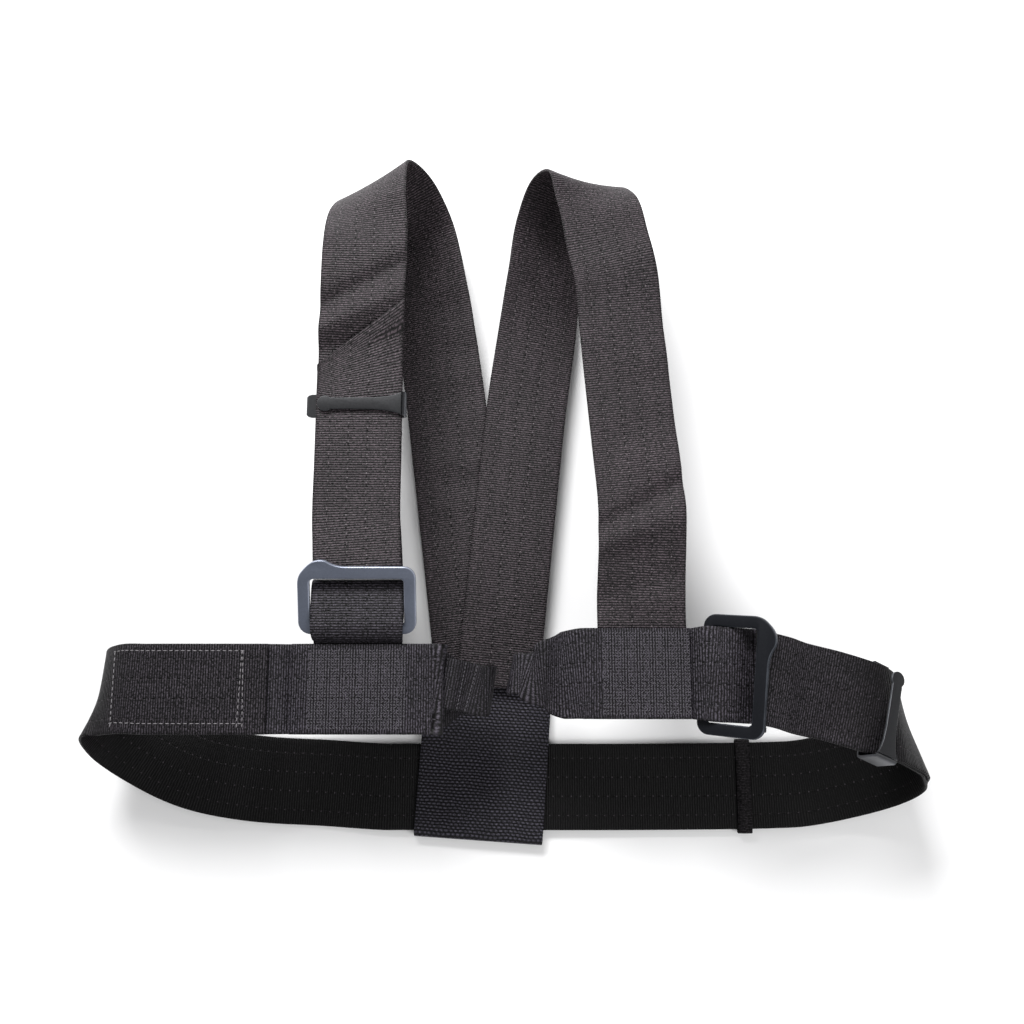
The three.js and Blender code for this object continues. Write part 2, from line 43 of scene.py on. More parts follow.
print("frame loaded")

# camera, lights and floor

view = {
    "target": (17.947, 166.444, 0),
    "place": (17.947, 53.573, 640.125),
    "lens": 36.5,
}
studio = {
    "floorColour": (0.93, 0.93, 0.935, 1),
    "keyPower": 31,
    "fillPower": 11,
    "worldStrength": 0.42,
}

def addObject(name, data):
    made = bpy.data.objects.new(name, data)
    bpy.context.scene.collection.objects.link(made)
    return made


cameraData = bpy.data.cameras.new("camera")
cameraData.lens = view["lens"]
cameraData.sensor_width = 36
cameraData.clip_start = 0.01
camera = addObject("camera", cameraData)
camera.location = Vector(view["place"]) * mm
lookAt = (Vector(view["target"]) - Vector(view["place"])).normalized()
camera.rotation_euler = lookAt.to_track_quat("-Z", "Y").to_euler()
bpy.context.scene.camera = camera


def addAreaLight(name, place, target, size, power):
    data = bpy.data.lights.new(name, "AREA")
    data.shape = "RECTANGLE"
    data.size, data.size_y = size
    data.energy = power
    light = addObject(name, data)
    light.location = place
    aim = Vector(target) - Vector(place)
    light.rotation_euler = aim.to_track_quat("-Z", "Y").to_euler()


addAreaLight("keyLight", (-0.35, 1.2, 0.82), (0, 0.14, 0), (0.8, 0.5), studio["keyPower"])
addAreaLight("fillLight", (0.9, -0.6, 1.1), (0, 0.1, 0), (0.9, 0.9), studio["fillPower"])

world = bpy.data.worlds.new("studio")
world.use_nodes = True
world.node_tree.nodes["Background"].inputs["Color"].default_value = (1, 1, 1, 1)
world.node_tree.nodes["Background"].inputs["Strength"].default_value = studio["worldStrength"]
bpy.context.scene.world = world
bpy.context.scene.view_settings.view_transform = "Standard"

# materials


# a material with short calls for its nodes
class Shader:
    def __init__(self, name, **settings):
        self.material = bpy.data.materials.new(name)
        self.material.use_nodes = True
        self.tree = self.material.node_tree
        self.surface = self.tree.nodes["Principled BSDF"]
        for socket, value in settings.items():
            self.surface.inputs[socket.replace("_", " ")].default_value = value

    def node(self, kind, **inputs):
        made = self.tree.nodes.new(kind)
        for name, value in inputs.items():
            self.join(value, made.inputs[name])
        return made

    def join(self, value, socket):
        if isinstance(value, bpy.types.NodeSocket):
            self.tree.links.new(value, socket)
        else:
            socket.default_value = value

    def math(self, operation, *values, clamp=False):
        made = self.tree.nodes.new("ShaderNodeMath")
        made.operation = operation
        made.use_clamp = clamp
        for value, socket in zip(values, made.inputs):
            self.join(value, socket)
        return made.outputs[0]

    def times(self, first, second):
        return self.math("MULTIPLY", first, second)

    def plus(self, first, second):
        return self.math("ADD", first, second)

    def minus(self, first, second):
        return self.math("SUBTRACT", first, second)

    # first * second + third
    def timesPlus(self, *values, **settings):
        return self.math("MULTIPLY_ADD", *values, **settings)

    def smooth(self, value, low, high, start=0.0, end=1.0):
        made = self.tree.nodes.new("ShaderNodeMapRange")
        made.interpolation_type = "SMOOTHSTEP"
        names = ("Value", "From Min", "From Max", "To Min", "To Max")
        for name, given in zip(names, (value, low, high, start, end)):
            self.join(given, made.inputs[name])
        return made.outputs[0]

    def noise(self, vector, scale, detail=2.0, roughness=0.5):
        made = self.node("ShaderNodeTexNoise", Scale=scale, Detail=detail, Roughness=roughness)
        self.join(vector, made.inputs["Vector"])
        return made.outputs["Fac"]

    def mix(self, factor, first, second):
        made = self.tree.nodes.new("ShaderNodeMix")
        made.data_type = "RGBA"
        self.join(factor, made.inputs[0])
        self.join(first, made.inputs[6])
        self.join(second, made.inputs[7])
        return made.outputs[2]

    def scaled(self, colour, factor):
        made = self.tree.nodes.new("ShaderNodeVectorMath")
        made.operation = "SCALE"
        self.join(colour, made.inputs[0])
        self.join(factor, made.inputs["Scale"])
        return made.outputs[0]

    def place(self):
        return self.tree.nodes.new("ShaderNodeTexCoord").outputs["Object"]

    # the webbing's own coordinates: across it and along it, in millimetres
    def millimetres(self):
        route = self.tree.nodes.new("ShaderNodeUVMap")
        route.uv_map = "route"
        split = self.tree.nodes.new("ShaderNodeSeparateXYZ")
        self.tree.links.new(route.outputs[0], split.inputs[0])
        return tuple(self.math("MULTIPLY", split.outputs[i], 1 / mm) for i in (0, 1))

    def vector(self, x, y, z=0.0):
        made = self.tree.nodes.new("ShaderNodeCombineXYZ")
        for value, socket in zip((x, y, z), made.inputs):
            self.join(value, socket)
        return made.outputs[0]

    def bump(self, height, strength, distance):
        made = self.node("ShaderNodeBump", Strength=strength, Distance=distance, Height=height)
        self.tree.links.new(made.outputs[0], self.surface.inputs["Normal"])


def colour4(values):
    return (*values, 1.0)


webbingLook = {
    "ribPitch": 1.42,
    "yarnPitch": 0.85,
    "binders": (5.5, 16.5),
    "binderWidth": 0.34,
    "dotPitch": 5.4,
    "darkDot": (0.2, 0.09, 0.16),  # middle, solid and soft half lengths, as shares of the pitch
    "lightDot": (0.62, 0.03, 0.09),
}


def webbingMaterial(name, colour, gloss, lightThread, ribPitch=None):
    look = webbingLook
    s = Shader(name, Roughness=0.5, Specular_IOR_Level=gloss)
    x, y = s.millimetres()
    drift = s.noise(s.vector(s.times(x, 0.35), s.times(y, 0.35)), 1.0, 2.0)
    # crosswise ribs, each a little uneven
    wander = s.times(s.minus(drift, 0.5), 0.7)
    phase = s.times(s.plus(y, wander), 2 * math.pi / (ribPitch or look["ribPitch"]))
    rib = s.timesPlus(s.math("SINE", phase), 0.5, 0.5)
    yarn = s.math("ABSOLUTE", s.math("SINE", s.times(x, math.pi / look["yarnPitch"])))
    weave = s.times(s.math("POWER", rib, 0.8), s.timesPlus(yarn, 0.4, 0.6))
    # binder threads: two lines on each side of the middle
    away = s.math("ABSOLUTE", x)
    side = s.math("SIGN", x)
    line = None
    dots = None
    for number, offset in enumerate(look["binders"]):
        reach = s.math("ABSOLUTE", s.minus(away, offset))
        near = s.smooth(reach, look["binderWidth"] * 0.4, look["binderWidth"] + 0.2, 1.0, 0.0)
        stagger = s.timesPlus(side, 1.3, number * 2.1)
        along = s.math("FRACT", s.math("DIVIDE", s.plus(y, stagger), look["dotPitch"]))
        if line is None:
            line, dots = near, along
        else:
            farDots = s.times(dots, s.minus(1.0, near))
            dots = s.plus(farDots, s.times(along, near))
            line = s.math("MAXIMUM", line, near)
    spots = []
    for middle, inner, outer in (look["darkDot"], look["lightDot"]):
        off = s.math("ABSOLUTE", s.minus(dots, middle))
        spots.append(s.times(line, s.smooth(off, inner, outer, 1.0, 0.0)))
    dark, light = spots
    # colour: painted shade in the grooves between the ribs, faint lengthwise stripes of painted sheen, slow
    # blotches and single bright fibres
    blotch = s.noise(s.vector(s.times(x, 0.05), s.times(y, 0.03)), 1.0, 3.0)
    fibre = s.noise(s.vector(s.times(x, 0.7), s.times(y, 0.95)), 1.0, 3.0, 0.75)
    sheenStripe = s.math("COSINE", s.times(x, 2 * math.pi / (look["binders"][1] - look["binders"][0])))
    tone = s.timesPlus(s.math("POWER", weave, 1.4), 2.5, 0.05)
    tone = s.times(tone, s.timesPlus(blotch, 0.9, 0.55))
    tone = s.times(tone, s.smooth(fibre, 0.38, 0.64, 0.05, 2.35))
    tone = s.times(tone, s.timesPlus(sheenStripe, 0.1, 1.0))
    tone = s.times(tone, s.minus(1.0, s.times(dark, 0.95)))
    tone = s.times(tone, s.smooth(away, 23.8, 24.8, 1.0, 0.7))
    # painted shade by place, read from each strap's depth attribute
    wearAndPaintedLight = s.tree.nodes.new("ShaderNodeAttribute")
    wearAndPaintedLight.attribute_name = "depth"
    tone = s.times(tone, wearAndPaintedLight.outputs["Fac"])
    tone = s.math("MAXIMUM", tone, 0.02)
    body = s.scaled(colour, tone)
    s.join(s.mix(s.times(light, 0.7), body, colour4(lightThread)), s.surface.inputs["Base Color"])
    matt = s.timesPlus(fibre, 0.3, 0.27)
    gap = s.minus(1.0, weave)
    s.join(s.plus(matt, s.times(gap, 0.18)), s.surface.inputs["Roughness"])
    height = s.plus(weave, s.times(fibre, 0.55))
    height = s.minus(height, s.times(line, 0.3))
    height = s.minus(height, s.times(dark, 0.8))
    s.bump(height, 0.8, 0.0003)
    return s.material


def patchMaterial(name, colour):
    s = Shader(name, Roughness=0.5, Specular_IOR_Level=0.14)
    x, y = s.millimetres()
    pitch = 1.85
    drift = s.noise(s.vector(s.times(x, 0.12), s.times(y, 0.12)), 1.0, 1.0)
    across = s.plus(x, s.times(drift, 1.2))
    down = s.plus(y, s.times(drift, 1.6))
    row = s.math("FLOOR", s.math("DIVIDE", down, pitch))
    parity = s.math("MODULO", row, 2.0)
    rib = s.math("ABSOLUTE", s.math("SINE", s.times(down, math.pi / pitch)))
    shifted = s.timesPlus(parity, pitch * 0.5, across)
    knot = s.math("ABSOLUTE", s.math("SINE", s.times(shifted, math.pi / pitch)))
    bead = s.timesPlus(s.math("POWER", knot, 0.7), 0.6, 0.4)
    weave = s.times(s.math("POWER", rib, 0.6), bead)
    fibre = s.noise(s.vector(s.times(x, 1.4), s.times(y, 1.4)), 1.0, 3.0, 0.6)
    # painted highlight on the bead tops and painted shade in the gaps between them
    tone = s.timesPlus(s.math("POWER", weave, 3.0), 6.0, 0.02)
    tone = s.times(tone, s.smooth(fibre, 0.34, 0.66, 0.3, 1.9))
    s.join(s.scaled(colour, tone), s.surface.inputs["Base Color"])
    s.bump(s.plus(weave, s.times(fibre, 0.2)), 0.9, 0.0006)
    return s.material


def threadMaterial(name, colour):
    s = Shader(name, Roughness=0.55, Sheen_Weight=0.2, Specular_IOR_Level=0.4)
    fine = s.noise(s.place(), 2600.0, 2.0)
    s.join(s.scaled(colour, s.timesPlus(fine, 1.2, 0.4)), s.surface.inputs["Base Color"])
    s.bump(fine, 0.4, 0.0002)
    return s.material


def metalMaterial(name, colour, wearAndPaintedLight, metallic, roughness, wearAndHighlightAmount, gloss=0.5):
    s = Shader(name, Metallic=metallic, Specular_IOR_Level=gloss)
    place = s.place()
    grain = s.noise(place, 900.0, 3.0, 0.6)
    cloud = s.noise(place, 60.0, 3.0)
    # lighter edges: edge wear, and on the shoulder ring also a painted highlight along its chamfers
    edge = s.tree.nodes.new("ShaderNodeAttribute")
    edge.attribute_name = "edge"
    edgeWearAndHighlight = s.times(edge.outputs["Fac"], s.smooth(cloud, 0.3, 0.65, 0.35, 1.0))
    edgeWearAndHighlight = s.times(edgeWearAndHighlight, wearAndHighlightAmount)
    tone = s.timesPlus(cloud, 0.3, 0.85)
    tone = s.times(tone, s.timesPlus(grain, 0.3, 0.85))
    s.join(s.mix(edgeWearAndHighlight, s.scaled(colour, tone), colour4(wearAndPaintedLight)), s.surface.inputs["Base Color"])
    rough = s.plus(roughness, s.times(s.minus(grain, 0.5), 0.22))
    s.join(s.minus(rough, s.times(edgeWearAndHighlight, 0.1)), s.surface.inputs["Roughness"])
    s.bump(grain, 0.25, 0.0001)
    return s.material


finishes = {
    "strap": webbingMaterial("strapWebbing", (0.0215, 0.0168, 0.0195), 0.2, (0.17, 0.15, 0.16)),
    "web": webbingMaterial("webWebbing", (0.0185, 0.0165, 0.0207), 0.18, (0.11, 0.1, 0.12)),
    "belt": webbingMaterial("beltWebbing", (0.0125, 0.0109, 0.0132), 0.14, (0.07, 0.06, 0.07)),
    "patch": patchMaterial("patchWebbing", (0.0085, 0.008, 0.0105)),
    "thread": threadMaterial("sewingThread", (0.012, 0.0105, 0.012)),
    "blockThread": threadMaterial("blockThread", (0.062, 0.057, 0.068)),
    "lightThread": threadMaterial("lightThread", (0.17, 0.16, 0.17)),
    "elastic": webbingMaterial("elasticBand", (0.008, 0.007, 0.008), 0.1, (0.012, 0.012, 0.012), 0.9),
    # the shoulder ring's light edge colour is partly a painted highlight on its chamfered edges
    "shoulderFrame": metalMaterial("anodisedFrame", (0.108, 0.122, 0.16), (0.42, 0.45, 0.54), 0.5, 0.42, 1.0),
    # the belt ring is the same anodised frame as the shoulder ring, darkened with painted shade where it
    # tilts away from the light
    "beltFrame": metalMaterial(
        "paintedShadeFrame", (0.008, 0.0088, 0.0115), (0.09, 0.1, 0.12), 0.3, 0.45, 0.7, gloss=0.15
    ),
    "bar": metalMaterial("steelBar", (0.02, 0.02, 0.024), (0.08, 0.08, 0.085), 0.7, 0.45, 0.4),
    "keeper": metalMaterial("keeperStrip", (0.017, 0.0175, 0.0195), (0.13, 0.135, 0.15), 0.45, 0.4, 0.85),
}
print("materials ready")

# routes of the straps: stations in millimetres; turn and roll in degrees, roll lifts the far edge

webbing = {
    "width": 50, "thickness": 2, "clearance": 0.3, "step": 1.7, "columns": 18,
    "shownThickness": 1.9, "selvedgePull": 0.7,
}
reach = {"shoulder": 366, "beltLeft": 218, "beltRight": 247, "front": 46, "rightRise": 5}
half = webbing["width"] / 2
layer = webbing["thickness"] + webbing["clearance"]
lying = webbing["thickness"] / 2


def station(base, x, y, z, turn=0.0, roll=0.0, width=50.0):
    heading = (base + turn) * degree
    lift = roll * degree
    across = (math.cos(heading) * math.cos(lift), math.sin(heading) * math.cos(lift), math.sin(lift))
    return np.array([x, y, z, *across, width], float)


def up(*place):
    return station(0, *place)


def along(*place):
    return station(90, *place)


def resting(roll):
    return half * math.sin(abs(roll) * degree) + lying * math.cos(roll * degree)


def bight(centre, outward, across, radius, upward=True, width=50.0):
    turns = []
    for angle in (-90, -45, 0, 45, 90) if upward else (90, 45, 0, -45, -90):
        point = np.array(centre, float) + np.array(outward) * radius * math.cos(angle * degree)
        point[2] += radius * math.sin(angle * degree)
        turns.append(np.array([*point, *across, width], float))
    return turns


# a Catmull-Rom curve through the stations, at a station number, and its slope
def curvePoint(values, number, centripetal):
    last = len(values) - 1
    i = min(int(number), last - 1)
    w = number - i
    p1, p2 = values[i], values[i + 1]
    p0 = values[i - 1] if i > 0 else 2 * p1 - p2
    p3 = values[i + 2] if i + 2 <= last else 2 * p2 - p1
    if centripetal:
        d0, d1, d2 = (max(math.sqrt(np.linalg.norm(b - a)), 1e-4) for a, b in ((p0, p1), (p1, p2), (p2, p3)))
        t1 = ((p1 - p0) / d0 - (p2 - p0) / (d0 + d1) + (p2 - p1) / d1) * d1
        t2 = ((p2 - p1) / d1 - (p3 - p1) / (d1 + d2) + (p3 - p2) / d2) * d1
    else:
        t1, t2 = (p2 - p0) / 2, (p3 - p1) / 2
    c2 = -3 * p1 + 3 * p2 - 2 * t1 - t2
    c3 = 2 * p1 - 2 * p2 + t1 + t2
    return p1 + t1 * w + c2 * w * w + c3 * w**3, t1 + 2 * c2 * w + 3 * c3 * w * w


class Route:
    def __init__(self, stations):
        self.stations = np.array(stations, float)
        self.last = len(stations) - 1

    def frame(self, number):
        point, slope = curvePoint(self.stations[:, :3], number, True)
        across = curvePoint(self.stations[:, 3:6], number, False)[0]
        tangent = slope / np.linalg.norm(slope)
        across = across - across.dot(tangent) * tangent
        across /= np.linalg.norm(across)
        before = min(int(number), self.last - 1)
        a, b = self.stations[before, 6], self.stations[before + 1, 6]
        return point, across, np.cross(across, tangent), tangent, a + (b - a) * (number - before)

    def beside(self, number, distance):
        point, across, normal, _, width = self.frame(number)
        return np.array([*(point + normal * distance), *across, width])

    # station numbers about one step apart, and the length run up to each
    def rows(self, step):
        numbers = []
        for i in range(self.last):
            ends = [curvePoint(self.stations[:, :3], i + k / 4, True)[0] for k in range(5)]
            length = sum(np.linalg.norm(b - a) for a, b in zip(ends, ends[1:]))
            count = max(1, math.ceil(length / step))
            numbers += [i + k / count for k in range(count)]
        numbers.append(float(self.last))
        places = np.array([self.frame(n)[0] for n in numbers])
        runs = np.concatenate([[0], np.cumsum(np.linalg.norm(np.diff(places, axis=0), axis=1))])
        return np.array(numbers), runs


# ring buckles and slide bars, as their frames stand
ring = {
    "thickness": 3.5, "length": 38.5, "footBar": 5, "headBar": 7, "sideBar": 6.8, "slack": 1.4, "corner": 7,
    "tabRise": 4.4, "tabLength": 21, "bevel": 0.85, "eyeCorner": 2.2,
}
slideBar = {"diameter": 4, "overhang": 3.8}
slideBarWrap = slideBar["diameter"] / 2 + webbing["clearance"] + lying
ringHead = ring["length"] - ring["footBar"] / 2
tailUnderHead = ring["thickness"] / 2 + webbing["clearance"] + lying
slideBarPlace = Vector((0, ringHead - ring["headBar"] / 2, -tailUnderHead - slideBarWrap))
loopGap = ring["footBar"] / 2 + webbing["clearance"] + lying + 0.8
front = reach["front"]
buckles = {
    "shoulder": {"foot": (-69, 90, front + layer + loopGap), "heading": 0, "tilt": 18},
    "belt": {"foot": (125.5, 65.5, front + reach["rightRise"] + loopGap), "heading": -96, "tilt": 33},
}


def buckleMatrix(b):
    turn = Matrix.Rotation(b["heading"] * degree, 4, "Z") @ Matrix.Rotation(b["tilt"] * degree, 4, "X")
    return Matrix.Translation(b["foot"]) @ turn


shoulderBar = np.array(buckleMatrix(buckles["shoulder"]) @ slideBarPlace)
beltBar = np.array(buckleMatrix(buckles["belt"]) @ slideBarPlace)

shoulderX = -71
shoulderZ = front + 8.5
shoulderReach = reach["shoulder"]
patchSeamZ = lying + layer
leftMain = [
    up(-3, 58, patchSeamZ + layer, 7),
    up(-6, 88, patchSeamZ + layer + 0.2, 7),
    up(-13, 148, 6.6, 6),
    up(-18, 189, 7.2, 6),
    up(-23, 230, 7.6, 6),
    up(-29, shoulderReach - 93, 8, 8, 8),
    up(-35, shoulderReach - 53, resting(19) + 0.3, 10, 19),
    up(-42, shoulderReach - 22, resting(22) + 2, 11, 22),
    up(-53, shoulderReach - 2, 25, 16, 23),
    up(-65, shoulderReach, front - 3, 22, 22),
    up(-69, shoulderReach - 19, front + 12, 15, 13),
    up(-69, shoulderReach - 48, front + 18, 4, 2),
    up(-70, shoulderReach - 84, front + 15),
    up(shoulderX, 253, shoulderZ + 1),
    up(shoulderX, 240, shoulderZ),
    up(shoulderX, 220, shoulderZ),
    up(shoulderX, 187, shoulderZ),
    up(shoulderX, 155, shoulderZ),
    up(shoulderX + 1, 140, shoulderBar[2] - slideBarWrap + 0.4),
]
leftStraight = Route(leftMain)
xAxis, yAxis = np.array([1.0, 0, 0]), np.array([0, 1.0, 0])
leftRoute = Route(
    leftMain
    + bight((buckles["shoulder"]["foot"][0], shoulderBar[1], shoulderBar[2]), -yAxis, xAxis, slideBarWrap)
    + [
        up(shoulderX + 1, 140, shoulderBar[2] + slideBarWrap - 1.2),
        up(shoulderX, 155, shoulderZ + layer + 0.6),
    ]
    + [leftStraight.beside(n, -layer) for n in (16, 15, 14, 13, 12.9, 12.6)]
)

rightWebZ = front + reach["rightRise"]
rightRoute = Route([
    up(9, 58, patchSeamZ + 2 * layer, -7),
    up(12, 88, patchSeamZ + 2 * layer + 0.4, -7),
    up(20, 165, 9.4, -7),
    up(27, 230, 10.2, -7),
    up(34, shoulderReach - 87, 9.6, -8, -9),
    up(39, shoulderReach - 49, resting(19) + 0.3, -9, -19),
    up(44, shoulderReach - 17, resting(22) + 2.6, -9, -22),
    up(52, shoulderReach, 26, -9, -22),
    up(62, shoulderReach, front - 5, -6, -18),
    up(70, shoulderReach - 17, front + 6, 7, -8),
    up(75, shoulderReach - 43, front + 10, 12),
    up(80, shoulderReach - 66, front + 9, 10),
    up(83, 267, front + 5, 7),
    up(87, 225, front + 4, 7),
    up(90, 191, front + 7, 7),
    up(92, 163, front + 11, 4),
    up(92, 135, front + 10, 1),
    up(91, 108, rightWebZ + layer + 1.2),
    up(91, 98, rightWebZ + layer),
    up(91, 90, rightWebZ + layer),
    up(91, 44, rightWebZ + layer),
])

leftY, rightY = 57, 65.5
beltFrontZ = front + 8
sleeveZ = lying + layer
beltLeft, beltRight = -reach["beltLeft"], reach["beltRight"]
beltTurn = -6
beltMain = [
    along(-119, leftY, front + 5 + layer),
    along(-150, leftY, beltFrontZ),
    along(beltLeft + 33, leftY, beltFrontZ - 0.4, -2),
    along(beltLeft + 13, leftY, beltFrontZ - 5.5, -7, -2),
    along(beltLeft, 53, beltFrontZ - 18, -10, -4),
    along(beltLeft + 4, 39, 17, -16, -8),
    along(beltLeft + 22, 24, resting(7) + 1.6, -19, -7),
    along(beltLeft + 47, 12, resting(3) + 1, -13, -3),
    along(-138, 5, lying + 0.7, -4),
    along(-91, 2, lying + 0.5),
    along(-58, 0, sleeveZ - 0.2),
    along(-48, 0, sleeveZ),
    along(0, 0, sleeveZ),
    along(94, 0, sleeveZ),
    along(beltRight - 75, 1, sleeveZ),
    along(beltRight - 57, 2, sleeveZ - 0.3, 3),
    along(beltRight - 31, 7, resting(3) + 0.8, 9, -3),
    along(beltRight - 9, 14, resting(11) + 1.6, 14, -11),
    along(beltRight, 21, 18, 14, -18),
    along(beltRight - 3, 29, front - 14, 14, -14),
    along(beltRight - 10, 36, front - 4, 11, -9),
    along(beltRight - 19, 42, front + 4, 6, -6),
    along(beltRight - 35, 48, front + 9, -5, -3),
    along(beltRight - 52, 53, front + 10, -9),
    along(177, 57, front + 12, -6),
    along(167, 60, beltBar[2] - slideBarWrap - 2.6, beltTurn),
]
beltStraight = Route(beltMain)
outward = np.array([-math.cos(beltTurn * degree), -math.sin(beltTurn * degree), 0])
beltRoute = Route(
    beltMain
    + bight(beltBar, outward, (outward[1], -outward[0], 0), slideBarWrap)
    + [
        along(167, 60, beltBar[2] + slideBarWrap - 3.4, beltTurn),
        along(178, 57, front + 12 + layer + 1.4, -6),
    ]
    + [beltStraight.beside(n, layer) for n in (23, 22, 21.5, 21, 20.5, 20, 19.5)]
    + [beltStraight.beside(19, layer + 0.3), along(beltRight + 1.5, 27, 24, 14, -16)]
)

patch = {"width": 76, "top": 82, "turn": -4, "fold": -half - webbing["clearance"] - 2.5}
fold = patch["fold"]
patchRoute = Route([
    up(0, y, z, 0, 0, patch["width"])
    for y, z in (
        (patch["top"], lying),
        (fold + 5, lying),
        (fold + 1.5, lying),
        (fold - 0.3, lying + 0.12),
        (fold - layer * 0.71, lying + layer * 0.29),
        (fold - layer, lying + layer),
        (fold - layer * 0.71, lying + layer * 1.71),
        (fold, lying + 2 * layer),
        (fold + 5, lying + 2 * layer),
        (half, lying + 2 * layer),
        (half + 5, lying + 2 * layer),
        (half + 14, patchSeamZ),
        (half + 20, patchSeamZ),
        (patch["top"], patchSeamZ),
    )
])

leftTopZ = front + 3 * layer
eye = {"width": 28, "radius": 6.5, "tipWidth": 23, "tipTurn": -12}
loopWidth = 52
eyeZ = front - 6
leftEyeAcross = along(0, 0, 0, -8)[3:6]
leftWebRoute = Route(
    [beltStraight.beside(n, -layer - 0.5) for n in (2.5, 2.3, 2.15, 2, 1.75, 1.5, 1.2, 0.9)]
    + [
        along(-130, leftY, beltFrontZ - layer - 1.1),
        along(-119, leftY, front + 4.4),
        along(-108, leftY, front + 1.4),
        along(-100, leftY, front),
        along(-94, leftY, front),
        along(-48, leftY, front),
        along(-42, leftY, front),
        along(-32, leftY, front - 1.6),
        along(-24, leftY, front - 5.5, 0, 0, 48),
        along(-17, leftY, front - 9, -2, 0, 38),
        along(-10, leftY, eyeZ - eye["radius"], -4, 0, eye["width"]),
    ]
    + bight((0, leftY - 1, eyeZ), xAxis, leftEyeAcross, eye["radius"], True, eye["width"])
    + [
        along(-8, leftY + 1, front + 2.4, -10, 0, eye["width"]),
        along(-15.5, leftY + 2.5, leftTopZ - 0.9, -9, 0, eye["width"]),
        along(-21, leftY + 3.4, leftTopZ - 2.2, -7, 0, eye["width"]),
        along(-26, leftY + 3.6, leftTopZ - layer - 0.4, -5, 0, eye["width"]),
        along(-42.5, leftY + 3.6, leftTopZ - layer - 0.4, -2, 0, eye["width"]),
    ]
)
leftTopRoute = Route([
    along(-20.6, leftY - 0.5, leftTopZ - 0.6, -1),
    along(-22.2, leftY - 0.5, leftTopZ + 0.3, -1),
    along(-25, leftY, leftTopZ + 0.2),
    along(-31, leftY, leftTopZ),
    along(-42, leftY, leftTopZ),
    along(-92, leftY, leftTopZ),
    along(-97, leftY, leftTopZ),
    along(-106, leftY, leftTopZ - 1.6),
])

rightTopZ = rightWebZ + 3 * layer
tip = np.array([24, rightY, front - 6.5])
loopEndX = beltBar[0] - slideBarWrap + 0.7
rightWebRoute = Route(
    [
        along(117, rightY, rightTopZ),
        along(72, rightY, rightTopZ),
        along(66, rightY, rightTopZ),
        along(57, rightY, rightTopZ - 0.9),
        along(46, rightY - 1, rightTopZ - 5, 0, 0, 48),
        along(36.5, rightY - 1, front + 0.8, -6, 0, 40),
        along(29, rightY - 1.5, front + 1.4, -9, 0, 30),
    ]
    + bight(tip, -xAxis, along(0, 0, 0, eye["tipTurn"])[3:6], eye["radius"], False, eye["tipWidth"])
    + [
        along(36, rightY - 1.5, front - 9, -3, 0, 34),
        along(48, rightY - 1, front - 1, 0, 0, 48),
        along(57, rightY, rightWebZ - 0.9),
        along(64, rightY, rightWebZ),
        along(70, rightY, rightWebZ),
        along(112, rightY, rightWebZ, -1),
        along(118, rightY, rightWebZ, -2),
        along(128, rightY, rightWebZ, -4),
    ]
    + bight(
        (loopEndX - loopGap, rightY - 1.5, rightWebZ + loopGap), xAxis, along(0, 0, 0, beltTurn + 1)[3:6],
        loopGap, True, loopWidth,
    )
    + [
        along(139, rightY - 0.9, rightWebZ + 2 * loopGap + 2.2, -4, 0, loopWidth),
        along(132, rightY - 0.6, rightWebZ + 2 * loopGap + 2.3, -4, 0, loopWidth),
        along(125.5, rightY, rightWebZ + 2 * loopGap + 1, -3, 0, loopWidth),
        along(121, rightY, rightWebZ + 2 * loopGap - 1.4, -2, 0, loopWidth - 1),
        along(117.5, rightY, rightWebZ + 2 * layer + 0.7, -1),
        along(113, rightY, rightWebZ + 2 * layer),
        along(107, rightY, rightWebZ + 2 * layer),
        along(72, rightY, rightWebZ + 2 * layer),
    ]
)

loopX = buckles["shoulder"]["foot"][0]
loopTop = shoulderBar[1] - slideBarWrap - lying - 1.2
webTop = leftY + half
loopLow = front + layer
loopRoute = Route(
    [up(loopX, 37, loopLow), up(loopX, webTop, loopLow), up(loopX, webTop + 8, loopLow)]
    + bight((loopX, loopTop - loopGap, loopLow + loopGap), yAxis, xAxis, loopGap, True, loopWidth)
    + [
        up(loopX, webTop + y, loopLow + z, 0, 0, width)
        for y, z, width in (
            (16, 2 * loopGap + 0.9, loopWidth),
            (8, 2 * loopGap + 0.6, loopWidth),
            (3.6, 2 * loopGap - 1.6, loopWidth - 1),
            (1.6, layer + 0.5, 50),
            (-2, layer, 50),
            (-6, layer, 50),
            (-10, layer, 50),
        )
    ]
    + [up(loopX, 37, loopLow + layer)]
)
print("routes laid")

# webbing


def smoothStep(x):
    x = np.clip(x, 0, 1)
    return x * x * (3 - 2 * x)


# points round a section of unit width: across from -1 to 1, height and pull-in in millimetres
def sectionLoop(columns, thickness):
    t = thickness / 2
    inner = np.linspace(-1, 1, columns + 1)
    top = [(u, t, 0) for u in inner[1:-1]]
    bottom = [(u, -t, 0) for u in inner[::-1][1:-1]]
    pull = webbing["selvedgePull"]
    right = [(1, t, pull), (1, t * 0.8, 0.25), (1, 0, 0), (1, -t * 0.8, 0.25), (1, -t, pull)]
    left = [(-u, -z, p) for u, z, p in right]
    return top + right + bottom + left


